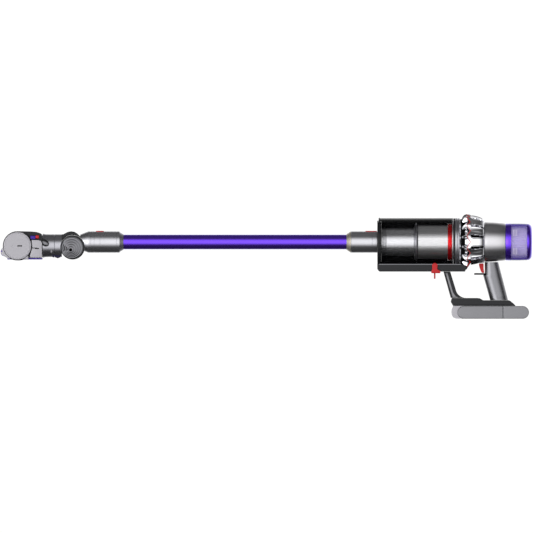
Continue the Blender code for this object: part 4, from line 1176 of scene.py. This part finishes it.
@dataclass
class HeadJoint:
    """The connector that plugs into the wand, the barrel pivot and the neck."""

    centre: Place = (-0.9827, 0.0, 0.1679)
    radius: float = 0.0286
    neck_radius: float = 0.0269

    def build(self, wand: Wand) -> None:
        """Builds the connector, the pivot with its stepped covers, the dome and the neck."""
        _, high = span("head_connector")
        seam = -0.9079
        outline = [
            (high.x, 0.0132), (high.x, 0.0146), (seam, 0.0148),
            *wand.grooved(seam, -0.9452, (-0.9182, -0.9317, -0.9400)), (-0.9470, 0.0248), (-0.9646, 0.0178),
            (-0.9646, 0.0132),
        ]
        connector = turned("head_collar", outline, GRAPHITE_PAINT)
        button = span("head_release_button")
        connector = carved(carved(connector, self.seat()), wand.pocket(button))
        fit(connector, "head_connector", "head_connector")
        wand.button("head_button", button, "head_release_button")
        self.pivot()
        self.neck()

    def seat(self) -> Piece:
        """Cutter for the round seat that the barrel turns in."""
        bore = tube(-0.0500, 0.0500, 0.0, self.radius + 0.0003)
        return turned("seat_cutter", bore, BLACK_ABS, self.centre, Axis.Y)

    def pivot(self) -> None:
        """The barrel with a stepped cover on each side and the dark dome over it."""
        barrel = tube(-0.0135, 0.0135, 0.0034, self.radius)
        fit(turned("pivot_core", barrel, SATIN_NICKEL, self.centre, Axis.Y, soft=0.0010), "head_connector",
            "pivot_barrel")
        for tag, side in SIDES:
            self.rings(f"pivot_rings_{tag}", f"pivot_cover_{tag}", side)
        low, high = span("pivot_dome")
        crown = [(-1.0079, 0.1835), (-1.0079, 0.1984), (-1.0040, 0.1990), (-0.9990, 0.2018), (-0.9940, 0.2044),
                 (-0.9860, 0.2058), (-0.9780, 0.2044), (-0.9715, 0.2004), (-0.9655, 0.1945), (-0.9630, 0.1905)]
        inside = arc((self.centre[0], self.centre[2]), self.radius + 0.0004, 50, 148, 20)
        fit(plate("pivot_cowl", [*crown, *inside], low.y - 0.002, high.y + 0.002, DARK_ABS, edge=0.0040,
                  segments=5), "head_connector", "pivot_dome")

    def rings(self, name: str, node: str, side: int) -> None:
        """Dark flange under an oblique cone of fine steps, whose tip lies low and towards the head, with a black plug
        in the tip's hole as painted shade.
        """
        x0, _, z0 = self.centre
        flange = [(side * 0.0171, 0.0034), (side * 0.0171, self.radius - 0.0004), (side * 0.0176, self.radius),
                  (side * 0.0186, self.radius), (side * 0.0192, self.radius - 0.0012), (side * 0.0192, 0.0034)]
        fit(turned(f"{name}_flange", flange, DARK_ABS, self.centre, Axis.Y), "head_connector", node)
        outer, tip, low, high = 0.0262, 0.0040, 0.0180, 0.0256
        count = 5
        steps = [(low, tip, 1.0), (low, outer, 0.0)]
        rise = (high - low - 0.0012) / count
        for k in range(count):
            for part, share in ((0.02, 0.0), (0.62, 0.97), (0.98, 0.99)):
                t = (k + part) / count
                steps.append((low + 0.0010 + rise * (k + share), outer + (tip - outer) * t, t))
        steps.append((low + 0.0010 + rise * count, tip, 1.0))
        rows = []
        for level, radius, drift in steps:
            dx, dz = -0.0016 - 0.0028 * drift, -0.0008 - 0.0050 * drift
            rows.append([(x0 + dx + radius * math.cos(a), side * level, z0 + dz + radius * math.sin(a))
                         for a in around(120)])
        fit(surface(name, rows, SMOKED_NICKEL, sharp=14), "head_connector")
        # Black plug filling the hole at the cone's tip: painted shade.
        line = tube(side * 0.0172, side * 0.0240, 0.0, tip - 0.0001)
        hole_shade = turned(f"{name}_pin", line, MATT_BLACK, (x0 - 0.0044, 0.0, z0 - 0.0058), Axis.Y, 32)
        fit(hole_shade, "head_connector")

    def neck(self) -> None:
        """The rear neck ring with the yoke's arms, a light stud that paints a highlight on the neck, and the small
        wheels.
        """
        x0, _, z0 = self.centre
        profile = [(-1.0252, 0.0125), (-1.0252, self.neck_radius - 0.0005), (-1.0247, self.neck_radius),
                   (-1.0080, self.neck_radius), (-1.0080, 0.0125)]
        ring = turned("neck_yoke", profile, DARK_GRAPHITE_PAINT, NECK)
        well = block("well_cutter", (-1.0242, -0.0125, 0.1300), (-1.0108, 0.0125, 0.1550), BLACK_ABS, 0.0010)
        yoke = carved(carved(ring, self.seat()), well)
        arms = []
        for side in (-1, 1):
            near, far = across(side, 0.0138, 0.0168)
            outline = [*arc((x0, z0), 0.0137, -90, 90, 24), (-1.0163, 0.1816), (-1.0163, 0.1542)]
            arms.append(plate(f"yoke_arm_{side + 1}", outline, near, far, DARK_GRAPHITE_PAINT, edge=0.0006))
        fit(yoke, "neck", "neck_rear")
        fit(joined("yoke_arms", arms), "neck")
        # A light grey stud shaped like a lens: a painted highlight on the side of the neck.
        lens = turned("neck_painted_highlight", [(-0.0250, 0.0), (-0.0250, 0.0021), (-0.0275, 0.0017), (-0.0279, 0.0)], LIGHT_ABS,
                      (-1.0325, 0.0, 0.1590), Axis.Y, 24)
        lens.scale = (1.0, 0.90, 2.2)
        lens.location.z = 0.1590 * (1 - 2.2)
        fit(lens, "floor_head")
        for tag, side in SIDES:
            name = f"neck_wheel_{tag}"
            self.wheel(name)
            near, far = across(side, 0.0124, 0.0142)
            skid = [(-1.0256, 0.1560), (-1.0256, 0.1442), (-1.0290, 0.1442), (-1.0308, 0.1470), (-1.0308, 0.1560)]
            fit(plate(f"{name}_skid", softened(skid, 0.0010), near, far, NAVY_ABS, edge=0.0005), "floor_head")
            cheek = [(-1.0250, 0.1560), (-1.0250, 0.1462), (-1.0235, 0.1440), (-1.0120, 0.1440), (-1.0108, 0.1460),
                     (-1.0108, 0.1560)]
            fit(plate(f"{name}_cheek", softened(cheek, 0.0010), near, far, NAVY_ABS, edge=0.0005), "neck")

    def wheel(self, name: str) -> None:
        """A small rubber-tyred wheel."""
        low, high = span(name)
        middle = ((low.x + high.x) / 2, 0.0, (low.z + high.z) / 2)
        radius = (high.z - low.z) / 2
        profile = [(low.y, 0.0015), (low.y, radius - 0.0010), (low.y + 0.0012, radius), (high.y - 0.0012, radius),
                   (high.y, radius - 0.0010), (high.y, 0.0015)]
        tyre = turned(f"{name}_tyre", profile, BLACK_RUBBER, middle, Axis.Y, 48, soft=0.0006)
        fit(tyre, name, name)
        hub = tube(low.y + 0.0004, high.y - 0.0004, 0.0003, 0.0022)
        fit(turned(f"{name}_hub", hub, PURPLE_ABS, middle, Axis.Y, 24), name)


@dataclass
class FloorHead:
    """Soft-roller head: housing, end plates and cap, sole, bumper and roller."""

    roller: Place = (-1.1113, 0.0, 0.1714)
    cap_radius: float = 0.0326
    half_width: float = 0.1100
    bore: float = 0.0228
    bristle_rows: int = 4
    slant: float = 60.0

    def build(self) -> None:
        """Builds the head on its own body, the cap and the roller on theirs."""
        self.neck()
        self.housing()
        self.ends()
        self.sole()
        self.cap()
        self.soft_roller()

    def neck(self) -> None:
        """The swivelling ring of the neck, which flares a little into the housing, and a boss on each side of it."""
        low, _ = span("neck_front")
        profile = [(-1.0254, 0.0150), (-1.0254, 0.0264), (-1.0259, 0.0269), (-1.0400, 0.0269), (-1.0470, 0.0272),
                   (low.x + 0.0002, 0.0285), (low.x + 0.0002, 0.0150)]
        fit(turned("neck_ring", profile, DARK_GRAPHITE_PAINT, NECK), "floor_head", "neck_front")
        for tag, side in SIDES:
            rows = []
            for k in range(1, 20):
                along, wide = 0.0165 * math.cos(math.pi * k / 20), math.sin(math.pi * k / 20)
                rows.append([
                    (-1.0516 + along, side * 0.0220 + 0.0085 * wide * math.cos(a),
                     0.1785 - 0.25 * along + 0.0100 * wide * math.sin(a))
                    for a in around(48)
                ])
            fit(surface(f"neck_shoulder_{tag}", rows, SMOKED_NICKEL, caps=True, sharp=60), "floor_head")

    def housing(self) -> None:
        """The dark hood over the roller, open below, with a seam along its top."""
        x0, _, z0 = self.roller
        middle = (x0, z0)
        outline = [
            *arc(middle, 0.0345, 190, 95, 28), (-1.1080, 0.2058), (-1.0800, 0.2052), (-1.0680, 0.2042),
            (-1.0600, 0.2018), (-1.0552, 0.1985), (-1.0533, 0.1940), (-1.0533, 0.1500), (-1.0560, 0.1437),
            (-1.0850, 0.1437), (-1.0890, 0.1470), *arc(middle, 0.0322, -43, 190, 48),
        ]
        fit(plate("roller_hood", outline, -self.half_width, self.half_width, DARK_ABS, edge=0.0006), "floor_head",
            "head_housing")
        tab = block("hood_tab", (-1.0812, -0.1180, 0.1868), (-1.0690, -0.1102, 0.1951), PURPLE_ABS, 0.0015)
        fit(tab, "floor_head")
        tip = block("hood_tab_tip", (-1.0690, -0.1175, 0.1888), (-1.0608, -0.1102, 0.1962), RED_ABS, 0.0015)
        fit(tip, "floor_head")

    def ends(self) -> None:
        """Light end plates under the round covers, and the rear side blocks with their parting line."""
        x0, _, z0 = self.roller
        edge = arc((x0, z0), self.cap_radius + 0.0005, -44, -172, 36)
        plate_line = [(-1.0856, 0.1480), (-1.0856, 0.1404), (-1.1240, 0.1396), (-1.1345, 0.1420), (-1.1488, 0.1510),
                      (-1.1506, 0.1570), (-1.1500, 0.1630), (-1.1468, 0.1668)]
        cover = [(-1.0778, 0.1850), (-1.0625, 0.1850), (-1.0565, 0.1830), (-1.0538, 0.1775), (-1.0536, 0.1444),
                 (-1.0805, 0.1444), (-1.0820, 0.1480), (-1.0764, 0.1658), (-1.0650, 0.1658), (-1.0650, 0.1670),
                 (-1.0762, 0.1670)]
        for tag, side in SIDES:
            near, far = across(side, 0.1103, 0.1195)
            fit(plate(f"end_plate_{tag}", [*reversed(edge), *plate_line], near, far, LIGHT_ABS, edge=0.0012),
                "floor_head")
            near, far = across(side, 0.1103, 0.1245)
            fit(plate(f"side_cover_{tag}", cover, near, far, LIGHT_ABS, edge=0.0008, segments=3),
                "floor_head", f"side_block_{tag}")
            near, far = across(side, 0.1238, 0.1248)
            fit(block(f"side_slot_{tag}", (-1.0700, near, 0.1640), (-1.0608, far, 0.1662), MATT_BLACK, 0.0003),
                "floor_head")
            near, far = across(side, 0.1190, 0.1201)
            fit(block(f"nose_stud_{tag}", (-1.1500, near, 0.1575), (-1.1470, far, 0.1602), PURPLE_ABS, 0.0003),
                "floor_head")
        low, high = span("drive_end_cover")
        rim = self.cap_radius - 0.0003
        cover = [(low.y, 0.0), (low.y, rim), (0.1225, rim), (high.y, 0.0300), (high.y - 0.0003, 0.0)]
        fit(turned("drive_cover", cover, LIGHT_ABS, self.roller, Axis.Y, soft=0.0012), "floor_head",
            "drive_end_cover")

    def sole(self) -> None:
        """Purple sole round the mouth, and the bumper in front."""
        low, high = span("sole_plate")
        sole = block("purple_sole", low, high, PURPLE_ABS, 0.0008)
        mouth = block("mouth_cutter", (-1.1285, -0.1060, 0.1300), (-1.0915, 0.1060, 0.1500), BLACK_ABS, 0.0010)
        fit(carved(sole, mouth), "floor_head", "sole_plate")
        low, high = span("front_bumper")
        nose = [(-1.1488, 0.1645), (low.x, 0.1590), (low.x + 0.0004, 0.1535), (-1.1480, 0.1490), (-1.1350, 0.1437),
                (-1.1330, 0.1460), (-1.1448, 0.1535), (-1.1466, 0.1645)]
        bumper = plate("nose_bumper", softened(nose, 0.0010), low.y, high.y, PURPLE_ABS, edge=0.0010)
        fit(bumper, "floor_head", "front_bumper")

    def cap(self) -> None:
        """The round end cap with a fine ring near its edge and a coin slot, whose bottom is painted dark as shade."""
        low, _ = span("end_cap")
        r = self.cap_radius
        profile = [
            (-0.1103, 0.0), (-0.1103, r - 0.0006), (-0.1222, r), (-0.1240, r - 0.0006), (-0.1248, r - 0.0022),
            (-0.1249, r - 0.0030), (-0.1244, r - 0.0034), (-0.1249, r - 0.0038), (low.y, 0.0100), (low.y, 0.0),
        ]
        disc = turned("round_cap", profile, LIGHT_ABS, self.roller, Axis.Y)
        slot = block("coin_cutter", (-1.1115, -0.1300, 0.1699), (-1.1003, -0.1235, 0.1727), BLACK_ABS, 0.0004)
        fit(carved(disc, slot), "end_cap", "end_cap")
        # Black sheet at the bottom of the coin slot: painted shade in the recess.
        floor = block("coin_slot_shade", (-1.1113, -0.1246, 0.1700), (-1.1005, -0.1236, 0.1726), MATT_BLACK, 0.0002)
        fit(floor, "end_cap")
        dot = turned("unlock_mark", tube(-0.12505, -0.1246, 0.0006, 0.0013), GRIP_ABS,
                     (-1.1240, 0.0, 0.1713), Axis.Y, 24)
        fit(dot, "end_cap")

    def soft_roller(self) -> None:
        """The roller: a sleeve of soft nap with slanted rows of stiffer bristle."""
        low, high = span("roller_sleeve")
        radius = (high.z - low.z) / 2
        facets, along = 120, 104
        rows = []
        for k in range(along + 1):
            y = low.y + (high.y - low.y) * k / along
            end = 0.0010 * (1 - smooth(0.0, 0.02, min(k, along - k) / along))
            ring = []
            for a in around(facets):
                twist = (a * self.bristle_rows + y * self.slant) % (2 * math.pi)
                pile = 0.0007 * smooth(0.75, 1.0, math.cos(twist)) - 0.0007
                r = radius + pile - end
                ring.append((self.roller[0] + r * math.cos(a), y, self.roller[2] + r * math.sin(a)))
            rows.append(ring)
        inner = [
            [(self.roller[0] + self.bore * math.cos(a), y, self.roller[2] + self.bore * math.sin(a))
             for a in around(facets)]
            for y in (high.y, low.y)
        ]
        fit(surface("nap_sleeve", rows + inner, ROLLER_NAP), "roller", "roller_sleeve")
        dress("roller_core", DARK_ABS)


@dataclass
class Studio:
    """White floor, soft light and the camera."""

    distance: float = 52.287
    lens: float = 1500.0
    aim: Place = (-0.5262, 0.0, 0.1229)
    floor_z: float = -0.45

    def build(self) -> None:
        """Builds the floor, the sky of soft light and the camera."""
        self.floor()
        self.sky()
        self.camera()

    def floor(self) -> None:
        """A white floor well below the machine, which lets the light from below through."""
        bpy.ops.mesh.primitive_plane_add(size=24.0, location=(0.0, 0.0, self.floor_z))
        floor = bpy.context.active_object
        floor.name = "studio_floor"
        material = bpy.data.materials.new("pale_floor")
        material.use_nodes = True
        material.node_tree.nodes.clear()
        nodes = Nodes(material.node_tree)
        glow = nodes.add("Emission", {"Color": WHITE, "Strength": BACKDROP}).outputs[0]
        nodes.output("OutputMaterial", nodes.add("BsdfTransparent").outputs[0], glow)
        floor.data.materials.append(material)

    def sky(self) -> None:
        """Soft light: lamps in front at eye level, a strip to their left, some behind, dark above and below."""
        world = bpy.data.worlds.new("studio_sky")
        bpy.context.scene.world = world
        world.use_nodes = True
        world.node_tree.nodes.clear()
        nodes = Nodes(world.node_tree)
        way = nodes.add("TexCoord").outputs["Generated"]
        height = nodes.add("SeparateXYZ", None, {0: way}).outputs["Z"]

        def towards(direction: Place) -> Socket:
            """How far a ray points in a direction."""
            return nodes.add("VectorMath", {1: direction}, {0: way}, operation="DOT_PRODUCT").outputs["Value"]

        level = nodes.maths("ABSOLUTE", nodes.maths("SUBTRACT", height, 0.05))
        band = nodes.ramp(level, (0.22, 0.88), (1.0, 0.0))
        facing = towards((-0.26, -0.966, 0.0))
        front = nodes.ramp(facing, (0.05, 0.90), (0.05, 2.25))
        strip = nodes.ramp(towards((-0.66, -0.751, 0.0)), (0.90, 0.985), (0.0, 2.2))
        back = nodes.ramp(facing, (-0.05, -0.80), (0.0, 1.40))
        top = nodes.ramp(height, (0.80, 1.0), (0.0, 0.14))
        lamps = nodes.maths("ADD", nodes.maths("ADD", front, strip), back)
        total = nodes.maths("ADD", nodes.maths("MULTIPLY", band, lamps), top)
        light = nodes.add("Background", None, {"Strength": nodes.maths("ADD", total, 0.05)}).outputs[0]
        seen = nodes.add("Background", {"Color": WHITE, "Strength": BACKDROP}).outputs[0]
        nodes.output("OutputWorld", light, seen)

    def camera(self) -> None:
        """A long lens square on to the machine's side."""
        data = bpy.data.cameras.new("side_camera")
        data.lens = self.lens
        data.sensor_width = 36.0
        data.clip_end = 500.0
        camera = bpy.data.objects.new("side_camera", data)
        bpy.context.scene.collection.objects.link(camera)
        camera.location = (self.aim[0], -self.distance, self.aim[2])
        camera.rotation_euler = (math.pi / 2, 0.0, 0.0)
        bpy.context.scene.camera = camera
        bpy.context.scene.view_settings.view_transform = "Standard"
        bpy.context.scene.view_settings.look = "None"


def main() -> None:
    """Builds the studio and every sub-assembly in order."""
    logging.basicConfig(level=logging.INFO, format="%(message)s")
    Studio().build()
    CyclonePack().build()
    Separator().build()
    MotorUnit().build()
    Filter().build()
    Grip().build()
    Base().build()
    Runner().build()
    Bin().build()
    wand = Wand()
    wand.build()
    HeadJoint().build(wand)
    FloorHead().build()


if __name__ == "__main__":
    main()
